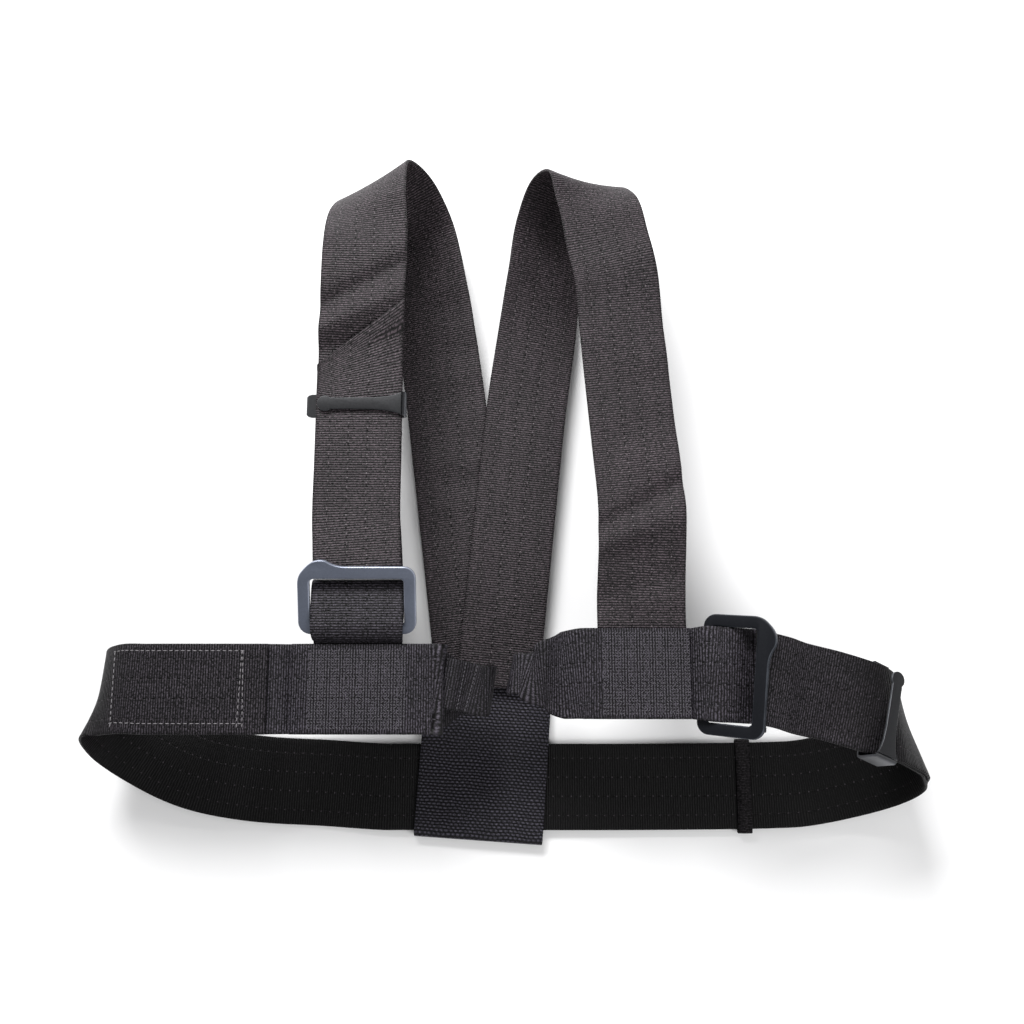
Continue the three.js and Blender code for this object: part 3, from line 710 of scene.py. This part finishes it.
# a strap along its route; waves are (first station, last station, height) and creases are
# (station, lean, width, height)
def webbingMesh(
    name, route, material, endSlant=0.0, slantSpan=2.0, waves=(), creases=(), seed=0, columns=None, depth=None
):
    numbers, runs = route.rows(webbing["step"])
    section = sectionLoop(columns or webbing["columns"], webbing["shownThickness"])
    random = np.random.default_rng(seed)
    swells = [(random.uniform(11, 30), random.uniform(0, 6.28), random.uniform(-0.6, 0.6)) for _ in range(5)]
    creaseRuns = [(np.interp(n, numbers, runs), *shape) for n, *shape in creases]
    vertices, uvs = [], []
    for number, run in zip(numbers, runs):
        point, across, normal, tangent, width = route.frame(number)
        slant = endSlant * max(0.0, 1 - (route.last - number) / slantSpan)
        free = 0.0
        for first, last, height in waves:
            start, end = smoothStep((number - first) / 0.8), smoothStep((last - number) / 0.8)
            free = max(free, height * float(start * end))
        for u, z, pull in section:
            a = u * (width / 2) - math.copysign(pull, u)
            lift = 0.0
            if free:
                for length, phase, lean in swells:
                    lift += 0.3 * math.sin(run / length * 2 * math.pi / 2.2 + phase + lean * a / 12)
                lift *= free
            for at, lean, spread, height in creaseRuns:
                away = (run - at - lean * a) / spread
                if abs(away) < 3.5:
                    lift += height * math.exp(-away * away)
            place = point + across * a + normal * (z + lift) + tangent * (u * slant)
            vertices.append(place * mm)
            uvs.append((u * half * mm, run * mm))
    ringSize = len(section)
    faces = []
    for i in range(len(numbers) - 1):
        for k in range(ringSize):
            a, b = i * ringSize + k, i * ringSize + (k + 1) % ringSize
            faces.append((a, b, b + ringSize, a + ringSize))
    faces.append(tuple(reversed(range(ringSize))))
    endStart = (len(numbers) - 1) * ringSize
    faces.append(tuple(endStart + k for k in range(ringSize)))
    return meshPiece(name, vertices, faces, material, uvs, depth=depth)


def faceOutwards(mesh, weld=False):
    builder = bmesh.new()
    builder.from_mesh(mesh)
    if weld:
        bmesh.ops.remove_doubles(builder, verts=builder.verts, dist=1e-6)
    bmesh.ops.recalc_face_normals(builder, faces=builder.faces)
    builder.to_mesh(mesh)
    builder.free()


def meshPiece(name, vertices, faces, material, uvs=None, depth=None):
    mesh = bpy.data.meshes.new(name)
    mesh.from_pydata([tuple(v) for v in vertices], [], faces)
    if uvs is not None:
        attribute = mesh.attributes.new("depth", "FLOAT", "POINT")
        attribute.data.foreach_set("value", [depth(v) if depth else 1.0 for v in vertices])
        layerUv = mesh.uv_layers.new(name="route")
        index = np.empty(len(mesh.loops), np.int32)
        mesh.loops.foreach_get("vertex_index", index)
        layerUv.data.foreach_set("uv", np.array(uvs, np.float32)[index].ravel())
    mesh.materials.append(material)
    faceOutwards(mesh)
    mesh.polygons.foreach_set("use_smooth", [True] * len(mesh.polygons))
    return addObject(name, mesh)


def finishPiece(piece, body, slot, *nodes):
    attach(piece, body)
    if nodes:
        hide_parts(*nodes)


# painted shade on the belt by place: darkest low down along its back, and darker at both bends
def beltPaintedShade(place):
    shade = 1 - 0.7 * float(smoothStep((place[0] / mm - 190) / 35))
    shade *= 1 - 0.6 * float(smoothStep((-place[0] / mm - 190) / 25))
    return (0.1 + 1.05 * float(smoothStep((place[2] / mm - 6) / 40))) * shade


# painted shade: the folded left eye is darker than its web
def leftEyePaintedShade(place):
    return 1 - 0.45 * float(smoothStep((place[0] / mm + 25) / 5))


# painted shade in the hollow just behind the tip of the right web
def rightEyePaintedShade(place):
    return 1 - 0.4 * math.exp(-(((place[0] / mm - 37) / 4.5) ** 2))


straps = {
    "leftShoulderStrap": {
        "route": leftRoute, "finish": "strap", "node": "left_shoulder_strap", "slot": "strap_webbing",
        "endSlant": 20, "slantSpan": 4.3, "seed": 3,
        "waves": ((2, 9, 0.75),),
        "creases": (
            (11.75, -0.6, 7, 2.4), (12.15, -0.5, 9, -2.2), (12.8, -0.3, 7.5, 1.5), (10.5, 0.2, 14, 1.2),
        ),
    },
    "rightShoulderStrap": {
        "route": rightRoute, "finish": "strap", "node": "right_shoulder_strap", "slot": "strap_webbing",
        "seed": 8, "waves": ((3, 17, 0.7),),
        "creases": (
            (15.1, -0.51, 6, 2.2), (15.6, -0.45, 9, -2.0), (16.7, -0.3, 10, 1.5), (12.3, 0.3, 14, -1.4),
            (13.6, -0.3, 12, 1.3),
        ),
    },
    "beltStrap": {
        "route": beltRoute, "finish": "belt", "node": "belt_strap", "slot": "belt_webbing",
        "endSlant": -3, "seed": 5, "waves": ((3, 9, 0.6),), "depth": beltPaintedShade,
    },
    "frontLeftWeb": {
        "route": leftWebRoute, "finish": "web", "node": "front_left_web", "slot": "belt_webbing",
        "seed": 6, "depth": leftEyePaintedShade,
    },
    "frontLeftTop": {
        "route": leftTopRoute, "finish": "web", "node": None, "slot": "belt_webbing", "seed": 12,
    },
    "frontRightWeb": {
        "route": rightWebRoute, "finish": "web", "node": "front_right_web", "slot": "belt_webbing",
        "seed": 7, "depth": rightEyePaintedShade,
    },
    "buckleLoop": {
        "route": loopRoute, "finish": "web", "node": "shoulder_buckle_loop", "slot": "belt_webbing",
        "seed": 9,
    },
}
for name, s in straps.items():
    piece = webbingMesh(
        name, s["route"], finishes[s["finish"]], s.get("endSlant", 0), s.get("slantSpan", 2),
        s.get("waves", ()), s.get("creases", ()), s["seed"], depth=s.get("depth"),
    )
    finishPiece(piece, "webbing", s["slot"], *(s["node"],) if s["node"] else ())

turned = Matrix.Rotation(patch["turn"] * degree, 4, "Z")
patchPiece = webbingMesh("backPatch", patchRoute, finishes["patch"], seed=2, columns=26)
patchPiece.data.transform(turned)
finishPiece(patchPiece, "webbing", "patch_webbing", "back_patch")
print("webbing made")

# stitches: short thread dashes along rows, laid by one geometry tree


def stitchTree():
    tree = bpy.data.node_groups.new("stitchRows", "GeometryNodeTree")
    for name, kind, way in (
        ("Rows", "NodeSocketGeometry", "INPUT"), ("Pitch", "NodeSocketFloat", "INPUT"),
        ("Dash Length", "NodeSocketFloat", "INPUT"), ("Thread Radius", "NodeSocketFloat", "INPUT"),
        ("Slant", "NodeSocketFloat", "INPUT"), ("Unevenness", "NodeSocketFloat", "INPUT"),
        ("Seed", "NodeSocketInt", "INPUT"), ("Material", "NodeSocketMaterial", "INPUT"),
        ("Stitches", "NodeSocketGeometry", "OUTPUT"),
    ):
        tree.interface.new_socket(name=name, in_out=way, socket_type=kind)
    add, link = tree.nodes.new, tree.links.new
    given = add("NodeGroupInput").outputs

    def linked(kind, settings=None, **inputs):
        made = add(kind)
        for key, value in (settings or {}).items():
            setattr(made, key, value)
        for key, value in inputs.items():
            socket = made.inputs[int(key[1:]) if key[1:].isdigit() else key.replace("_", " ")]
            if isinstance(value, bpy.types.NodeSocket):
                link(value, socket)
            else:
                socket.default_value = value
        return made

    def maths(operation, *values, kind="ShaderNodeMath"):
        inputs = {f"_{place}": value for place, value in enumerate(values)}
        return linked(kind, {"operation": operation}, **inputs).outputs[0]

    curve = linked("GeometryNodeMeshToCurve", Mesh=given["Rows"]).outputs[0]
    places = linked("GeometryNodeResampleCurve", {"mode": "LENGTH"}, Curve=curve, Length=given["Pitch"])
    # every second dash slants the other way
    tangent = add("GeometryNodeInputTangent").outputs[0]
    parity = maths("MODULO", add("GeometryNodeInputIndex").outputs[0], 2.0)
    lean = maths("MULTIPLY", maths("MULTIPLY_ADD", parity, 2.0, -1.0), given["Slant"])
    random = linked("FunctionNodeRandomValue", {"data_type": "FLOAT"}, Seed=given["Seed"])
    link(maths("MULTIPLY", given["Unevenness"], -1.0), random.inputs[2])
    link(given["Unevenness"], random.inputs[3])
    uneven = maths("ADD", lean, random.outputs[1])
    side = maths("CROSS_PRODUCT", tangent, (0, 0, 1), kind="ShaderNodeVectorMath")
    swing = linked("ShaderNodeVectorMath", {"operation": "SCALE"}, _0=side, Scale=uneven).outputs[0]
    aim = maths("ADD", tangent, swing, kind="ShaderNodeVectorMath")
    turn = linked("FunctionNodeAlignRotationToVector", {"axis": "Z"}, Vector=aim).outputs[0]
    ball = linked("GeometryNodeMeshUVSphere", Segments=6, Rings=5, Radius=1.0).outputs["Mesh"]
    radius, halfDash = given["Thread Radius"], maths("MULTIPLY", given["Dash Length"], 0.5)
    size = linked("ShaderNodeCombineXYZ", X=radius, Y=radius, Z=halfDash).outputs[0]
    laid = linked(
        "GeometryNodeInstanceOnPoints", Points=places.outputs[0], Instance=ball, Rotation=turn, Scale=size
    )
    real = linked("GeometryNodeRealizeInstances", Geometry=laid.outputs[0])
    dressed = linked("GeometryNodeSetMaterial", Geometry=real.outputs[0], Material=given["Material"])
    link(dressed.outputs[0], add("NodeGroupOutput").inputs["Stitches"])
    return tree


stitchRows = stitchTree()


# rows are lists of places in millimetres; each becomes a run of dashes
def stitchPiece(name, slot, s):
    vertices, edges = [], []
    for row in s["rows"]:
        start = len(vertices)
        vertices += [tuple(np.array(place) * mm) for place in row]
        edges += [(start + k, start + k + 1) for k in range(len(row) - 1)]
    mesh = bpy.data.meshes.new(name + "Rows")
    mesh.from_pydata(vertices, edges, [])
    holder = addObject(name + "Rows", mesh)
    modifier = holder.modifiers.new("stitches", "NODES")
    modifier.node_group = stitchRows
    values = {
        "Pitch": s["pitch"] * mm, "Dash Length": s["dash"] * mm, "Thread Radius": s["radius"] * mm,
        "Slant": s["slant"], "Unevenness": s["uneven"], "Seed": s["seed"], "Material": finishes[s["finish"]],
    }
    for item in stitchRows.interface.items_tree:
        if item.item_type == "SOCKET" and item.name in values:
            modifier[item.identifier] = values[item.name]
    graph = bpy.context.evaluated_depsgraph_get()
    made = bpy.data.meshes.new_from_object(holder.evaluated_get(graph))
    bpy.data.objects.remove(holder)
    made.name = name
    made.polygons.foreach_set("use_smooth", [True] * len(made.polygons))
    finishPiece(addObject(name, made), "webbing", slot, *s["nodes"])
    print(name, len(made.polygons))


# a row of places from edge to edge of a strap, just off its face
def acrossStrap(route, number, reachOut, lift, side=1, inset=0.0, slant=0.0):
    point, across, normal, tangent, width = route.frame(number)
    return [
        point + across * a * reachOut + normal * side * lift + tangent * (a * slant + inset)
        for a in np.linspace(-1, 1, 9)
    ]


def alongStrap(route, first, last, a, lift, side=1):
    places = []
    for number in np.linspace(first, last, 14):
        point, across, normal, _, _ = route.frame(number)
        places.append(point + across * a + normal * side * lift)
    return places


def columns(left, right, low, high, z, pitch):
    count = round((right - left) / pitch)
    return [[(left + (right - left) * k / count, y, z) for y in (low, high)] for k in range(count + 1)]


sewing = {"blockLift": 1.0, "columnPitch": 1.75, "beltLift": 1.05, "webLift": 1.05, "hemInset": 2.6}
blockDash = {"pitch": 1.55, "dash": 1.5, "radius": 0.27, "slant": 0.8, "uneven": 1.1, "finish": "blockThread"}
lightDash = {"slant": 0, "uneven": 0.1, "finish": "lightThread"}


# a block of columns above and below the middle of a web; each band is (low, high) from its middle line
def block(left, right, y, z, bands):
    rows = []
    for low, high in bands:
        rows += columns(left, right, y + low, y + high, z + sewing["blockLift"], sewing["columnPitch"])
    return rows


beltOut = sewing["beltLift"]
webOut = sewing["webLift"]
seamZ = patchSeamZ + 2 * layer + 1.15
stitching = {
    "leftBoxStitching": {
        "nodes": ("left_box_stitch_upper", "left_box_stitch_lower"), "seed": 11, **blockDash,
        "rows": block(-95, -42, leftY, leftTopZ, ((0.8, 21), (-21.5, -1))),
    },
    "rightBoxStitching": {
        "nodes": ("right_box_stitch_upper", "right_box_stitch_lower"), "seed": 12, **blockDash,
        "rows": block(69, 116, rightY, rightTopZ, ((1.4, 22), (-22, -0.4))),
    },
    "endBoxStitching": {
        "nodes": ("left_join_stitch",), "seed": 3, "pitch": 3.3, "dash": 2.3, "radius": 0.3, **lightDash,
        "rows": [alongStrap(beltRoute, 0.45, 3.05, a, beltOut) for a in (21, -19)]
        + [
            acrossStrap(beltRoute, n, 20, beltOut, slant=lean)
            for n, lean in ((3.05, 0), (0.42, 0.6), (0.48, -0.6))
        ],
    },
    "tailHemStitching": {
        "nodes": (), "seed": 4, "pitch": 3.0, "dash": 2.1, "radius": 0.26, **lightDash,
        "rows": [acrossStrap(leftRoute, leftRoute.last, 24, 1.1, -1, -sewing["hemInset"], 20)],
    },
    "leftEyeStitching": {
        "nodes": ("left_eye_tack",), "seed": 5, "pitch": 2.2, "dash": 1.7, "radius": 0.26, "slant": 0.25,
        "uneven": 0.3, "finish": "blockThread",
        "rows": [acrossStrap(leftWebRoute, leftWebRoute.last - k, 12.5, webOut, 1) for k in (3.62, 4.35)],
    },
    "rightEyeStitching": {
        "nodes": ("right_eye_tack",), "seed": 6, "pitch": 2.4, "dash": 1.8, "radius": 0.24, "slant": 0.2,
        "uneven": 0.3, "finish": "thread",
        "rows": [acrossStrap(rightWebRoute, n, out, webOut, -1) for n, out in ((4.1, 19), (3.75, 20))],
    },
    "patchSeamStitching": {
        "nodes": ("back_patch_stitch",), "seed": 7, "pitch": 2.6, "dash": 1.9, "radius": 0.25, "slant": 0.3,
        "uneven": 0.3, "finish": "thread",
        "rows": [[(x, y, seamZ) for x in (-10, 28)] for y in (60, 66, 72, 78)],
    },
}
for name, s in stitching.items():
    stitchPiece(name, "thread", s)
print("stitches made")

# ring buckles


# the ring's outer and inner edges, in millimetres
def ringOutline(r):
    halfWide = half + r["slack"] + r["sideBar"]
    head = r["length"] - r["footBar"] / 2
    foot = -r["footBar"] / 2
    c = r["corner"]

    def arc(cx, cy, radius, start, end, steps=12):
        turns = [start + (end - start) * k / steps for k in range(steps + 1)]
        return [(cx + radius * math.cos(a * degree), cy + radius * math.sin(a * degree)) for a in turns]

    def bend(a, b, d, steps=10):
        ts = [k / steps for k in range(1, steps + 1)]
        return [
            tuple((1 - t) ** 2 * a[i] + 2 * t * (1 - t) * b[i] + t * t * d[i] for i in (0, 1)) for t in ts
        ]

    tabEnd = -halfWide + r["tabLength"]
    outer = arc(halfWide - c, foot + c, c, -90, 0) + arc(halfWide - c, head - c, c, 0, 90)
    outer += [(tabEnd + 6, head)]
    outer += bend((tabEnd + 6, head), (tabEnd, head), (tabEnd - 5, head + r["tabRise"] - 1))
    outer += bend(outer[-1], (-halfWide + c + 2, head + r["tabRise"] + 1), (-halfWide + 3, head - 2))
    outer += bend(outer[-1], (-halfWide, head - 5), (-halfWide, head - 10))
    outer += arc(-halfWide + c, foot + c, c, 180, 270)
    side, e = half + r["slack"], r["eyeCorner"]
    low, high = r["footBar"] / 2, head - r["headBar"]
    inner = arc(side - e, low + e, e, -90, 0, 8) + arc(side - e, high - e, e, 0, 90, 8)
    inner += arc(-side + e, high - e, e, 90, 180, 8) + arc(-side + e, low + e, e, 180, 270, 8)
    return outer, inner


# a plate with rounded edges, cut to closed outlines, lying about z = 0
def flatCurveMesh(name, outlines, thickness, bevel, resolution=4):
    curve = bpy.data.curves.new(name, "CURVE")
    curve.dimensions = "2D"
    curve.fill_mode = "BOTH"
    curve.extrude = (thickness / 2 - bevel) * mm
    curve.bevel_depth = bevel * mm
    curve.bevel_resolution = resolution
    curve.offset = -bevel * mm
    for outline in outlines:
        spline = curve.splines.new("POLY")
        spline.points.add(len(outline) - 1)
        for point, (x, y) in zip(spline.points, outline):
            point.co = (x * mm, y * mm, 0, 1)
        spline.use_cyclic_u = True
    holder = addObject(name, curve)
    bpy.context.view_layer.update()
    graph = bpy.context.evaluated_depsgraph_get()
    mesh = bpy.data.meshes.new_from_object(holder.evaluated_get(graph))
    bpy.data.objects.remove(holder)
    faceOutwards(mesh, weld=True)
    return mesh


# the edge attribute is 1 where the surface turns away from its flat sides, for edge wear and, on the shoulder
# ring, a painted highlight
def markEdges(mesh, wide=0.92):
    values = [min(1.0, max(0.0, (wide - abs(v.normal.z)) * 4)) for v in mesh.vertices]
    attribute = mesh.attributes.new("edge", "FLOAT", "POINT")
    attribute.data.foreach_set("value", values)


def addMeshObject(name, mesh, material):
    mesh.name = name
    mesh.materials.clear()
    mesh.materials.append(material)
    mesh.polygons.foreach_set("use_smooth", [True] * len(mesh.polygons))
    mesh.set_sharp_from_angle(angle=40 * degree)
    return addObject(name, mesh)


# a place given in millimetres, for a mesh in metres
def metres(matrix):
    placed = matrix.copy()
    placed.translation = matrix.translation * mm
    return placed


for name, b in buckles.items():
    mesh = flatCurveMesh(name + "RingBuckle", ringOutline(ring), ring["thickness"], ring["bevel"])
    # the inner rim of the thumb tab is pressed into a shallow dish
    dish = Vector((-half - ring["slack"] + 3.5, ringHead - 0.2))
    for v in mesh.vertices:
        place = v.co / mm
        if place.z > 0:
            away = math.hypot((place.x - dish.x) / 7.5, (place.y - dish.y) / 2.6)
            if away < 1:
                v.co.z -= 0.35 * mm * (1 - away * away)
    mesh.update()
    markEdges(mesh)
    mesh.transform(metres(buckleMatrix(b)))
    piece = addMeshObject(name + "RingBuckle", mesh, finishes[name + "Frame"])
    finishPiece(piece, name + "_ring", "anodised_frame", name + "_ring_buckle")

    # slide bar: a turned pin with chamfered, necked ends
    length = webbing["width"] / 2 + slideBar["overhang"]
    r = slideBar["diameter"] / 2
    profile = [
        (0, 0), (r - 0.6, 0), (r - 0.15, 0.25), (r, 0.8),
        (r, 2.6), (r - 0.25, 2.9), (r - 0.25, 3.5), (r, 3.8),
    ]
    sides = 40
    rings = [(x, radius) for radius, x in profile]
    rings += [(2 * length - x, radius) for x, radius in reversed(rings)]
    vertices, faces = [], []
    for x, radius in rings:
        for k in range(sides):
            a = 2 * math.pi * k / sides
            vertices.append(((x - length) * mm, radius * math.cos(a) * mm, radius * math.sin(a) * mm))
    for i in range(len(rings) - 1):
        for k in range(sides):
            j = (k + 1) % sides
            faces.append((i * sides + k, i * sides + j, (i + 1) * sides + j, (i + 1) * sides + k))
    bar = meshPiece(name + "SlideBar", vertices, faces, finishes["bar"])
    faceOutwards(bar.data, weld=True)
    bar.data.transform(metres(buckleMatrix(b) @ Matrix.Translation(slideBarPlace)))
    finishPiece(bar, name + "_bar", "steel_bar", name + "_slide_bar")
print("buckles made")

# strap keepers: bent strip, plate behind the webbing and arm in front

keeper = {"plateWidth": 14, "gauge": 1.5, "tab": 5, "armWidth": 6.6, "tipRadius": 4.5, "bend": 1.6}
keepers = {
    "shoulder": {"frame": leftStraight.frame(15), "side": -1, "bendSide": 1, "behind": 0, "inFront": 0},
    "belt": {"frame": beltStraight.frame(21.2), "side": 1, "bendSide": -1, "behind": 6.2, "inFront": 2.3},
}


def keeperMatrix(k):
    point, across, normal, _, _ = k["frame"]
    across = across * k["bendSide"]
    out = normal * k["side"]
    tangent = np.cross(out, across)
    place = point + out * layer / 2
    return Matrix([[across[i], tangent[i], out[i], place[i]] for i in range(3)] + [[0, 0, 0, 1]])


# a strip of metal bent along a path in the XZ plane; widths are its half widths along Y
def bentStrip(name, path, widths, gauge, bevel=0.3):
    points = [Vector((x, z)) for x, z in path]
    vertices, faces = [], []
    rows = 0
    for i, point in enumerate(points):
        before, after = points[max(i - 1, 0)], points[min(i + 1, len(points) - 1)]
        run = (after - before).normalized()
        side = Vector((-run.y, run.x))
        w, g = widths[i], gauge / 2
        section = [
            (-w + bevel, g), (w - bevel, g), (w, g - bevel), (w, bevel - g),
            (w - bevel, -g), (-w + bevel, -g), (-w, bevel - g), (-w, g - bevel),
        ]
        for y, d in section:
            place = point + side * d
            vertices.append((place.x * mm, y * mm, place.y * mm))
        rows += 1
    for i in range(rows - 1):
        for k in range(8):
            a, b = i * 8 + k, i * 8 + (k + 1) % 8
            faces.append((a, b, b + 8, a + 8))
    faces.append(tuple(range(8)))
    faces.append(tuple((rows - 1) * 8 + k for k in reversed(range(8))))
    mesh = bpy.data.meshes.new(name)
    mesh.from_pydata(vertices, [], faces)
    faceOutwards(mesh)
    return mesh


def corner(cx, cz, radius, start, end, steps=7):
    turns = [start + (end - start) * k / steps for k in range(steps + 1)]
    return [(cx + radius * math.cos(a * degree), cz + radius * math.sin(a * degree)) for a in turns]


for name, k in keepers.items():
    g = keeper["gauge"]
    grip = layer / 2 + webbing["thickness"] / 2 + webbing["clearance"]
    edge = half + webbing["clearance"] + 0.7
    back = -grip - g - k["behind"] + g / 2
    top = grip + g + k["inFront"] - g / 2
    right = edge + g / 2
    bend = keeper["bend"]
    path = [(-edge - keeper["tab"] + x, back) for x in (0, 1.2, 3, 8, 20, 35)]
    path += corner(right - bend, back + bend, bend, -90, 0)
    path += corner(right - bend, top - bend, bend, 0, 80)
    halfWidth = keeper["plateWidth"] / 2
    widths = [halfWidth - 1.6, halfWidth - 0.5] + [halfWidth] * (len(path) - 2)
    mesh = bentStrip(name, path, widths, g)
    mesh.update()
    markEdges(mesh, 0.8)
    place = metres(keeperMatrix(k))
    mesh.transform(place)
    piece = addMeshObject(name + "KeeperPlate", mesh, finishes["keeper"])
    finishPiece(piece, name + "_keeper", "keeper_strip", name + "_keeper_plate")

    tipX = -half + keeper["tipRadius"] + 1
    root = right - bend - 0.3
    neck = keeper["armWidth"] / 2
    tipTurns = [45 + 270 * n / 24 for n in range(25)]
    radius = keeper["tipRadius"]
    outline = [(tipX + radius * math.cos(a * degree), radius * math.sin(a * degree)) for a in tipTurns]
    outline += [(tipX + radius * 0.98, -neck - 0.1), (tipX + radius + 2, -neck), (root - 16, -neck - 0.2)]
    outline += [(root - 8, -neck - 0.9), (root - 4, -neck - 1.9)]
    outline += [(root - 1.2, -halfWidth + 0.9), (root, -halfWidth)]
    outline += [(x, -y) for x, y in reversed(outline[25:])]
    mesh = flatCurveMesh(name + "KeeperArm", [outline], g, 0.35, 3)
    mesh.transform(Matrix.Translation((0, 0, top * mm)))
    mesh.update()
    markEdges(mesh, 0.8)
    mesh.transform(place)
    piece = addMeshObject(name + "KeeperArm", mesh, finishes["keeper"])
    finishPiece(piece, name + "_keeper_spring", "keeper_strip", name + "_keeper_arm")
print("keepers made")

# elastic keeper: a flat band round the belt

elastic = {"width": 8.5, "gauge": 1, "slack": 1.2, "place": (155.5, 0.4, sleeveZ)}
turnRadius = 0.9
ex = half + elastic["slack"] + elastic["gauge"] / 2 - turnRadius
ey = lying + webbing["clearance"] + elastic["gauge"] / 2 - turnRadius
loop = []
for cx, cz, start in ((ex, ey, 0), (-ex, ey, 90), (-ex, -ey, 180), (ex, -ey, 270)):
    loop += corner(cx, cz, turnRadius, start, start + 90, 5)
fine = []
for i, a in enumerate(loop):
    b = loop[(i + 1) % len(loop)]
    count = max(1, round(math.dist(a, b) / 1.5))
    fine += [(a[0] + (b[0] - a[0]) * k / count, a[1] + (b[1] - a[1]) * k / count) for k in range(count)]
vertices, faces, uvs = [], [], []
run = 0.0
w, g = elastic["width"] / 2, elastic["gauge"] / 2
section = [
    (-w, 0.0), (-w + 0.3, g), (0, g + 0.08), (w - 0.3, g), (w, 0.0), (w - 0.3, -g), (0, -g), (-w + 0.3, -g),
]
for i, point in enumerate(fine):
    before, after = Vector(fine[i - 1]), Vector(fine[(i + 1) % len(fine)])
    tangent = (after - before).normalized()
    side = Vector((tangent.y, -tangent.x))
    for x, d in section:
        offset = (x, point[0] + side.x * d, point[1] + side.y * d)
        vertices.append(tuple((a + b) * mm for a, b in zip(elastic["place"], offset)))
        uvs.append((x * mm, run * mm))
    run += (after - Vector(point)).length
for i in range(len(fine)):
    j = (i + 1) % len(fine)
    for k in range(8):
        n = (k + 1) % 8
        faces.append((i * 8 + k, i * 8 + n, j * 8 + n, j * 8 + k))
band = meshPiece("elasticKeeper", vertices, faces, finishes["elastic"], uvs)
finishPiece(band, "elastic_band", "elastic", "elastic_keeper")
print("elastic made")

# floor

floorMesh = bpy.data.meshes.new("floor")
corners = [(x, y, -0.0003) for x, y in ((-4, -4), (4, -4), (4, 4), (-4, 4))]
floorMesh.from_pydata(corners, [], [(0, 1, 2, 3)])
floor = addObject("floor", floorMesh)
floorShader = Shader("floorPaper", Base_Color=studio["floorColour"], Roughness=0.6, Specular_IOR_Level=0.2)
floorMesh.materials.append(floorShader.material)

print("scene ready")
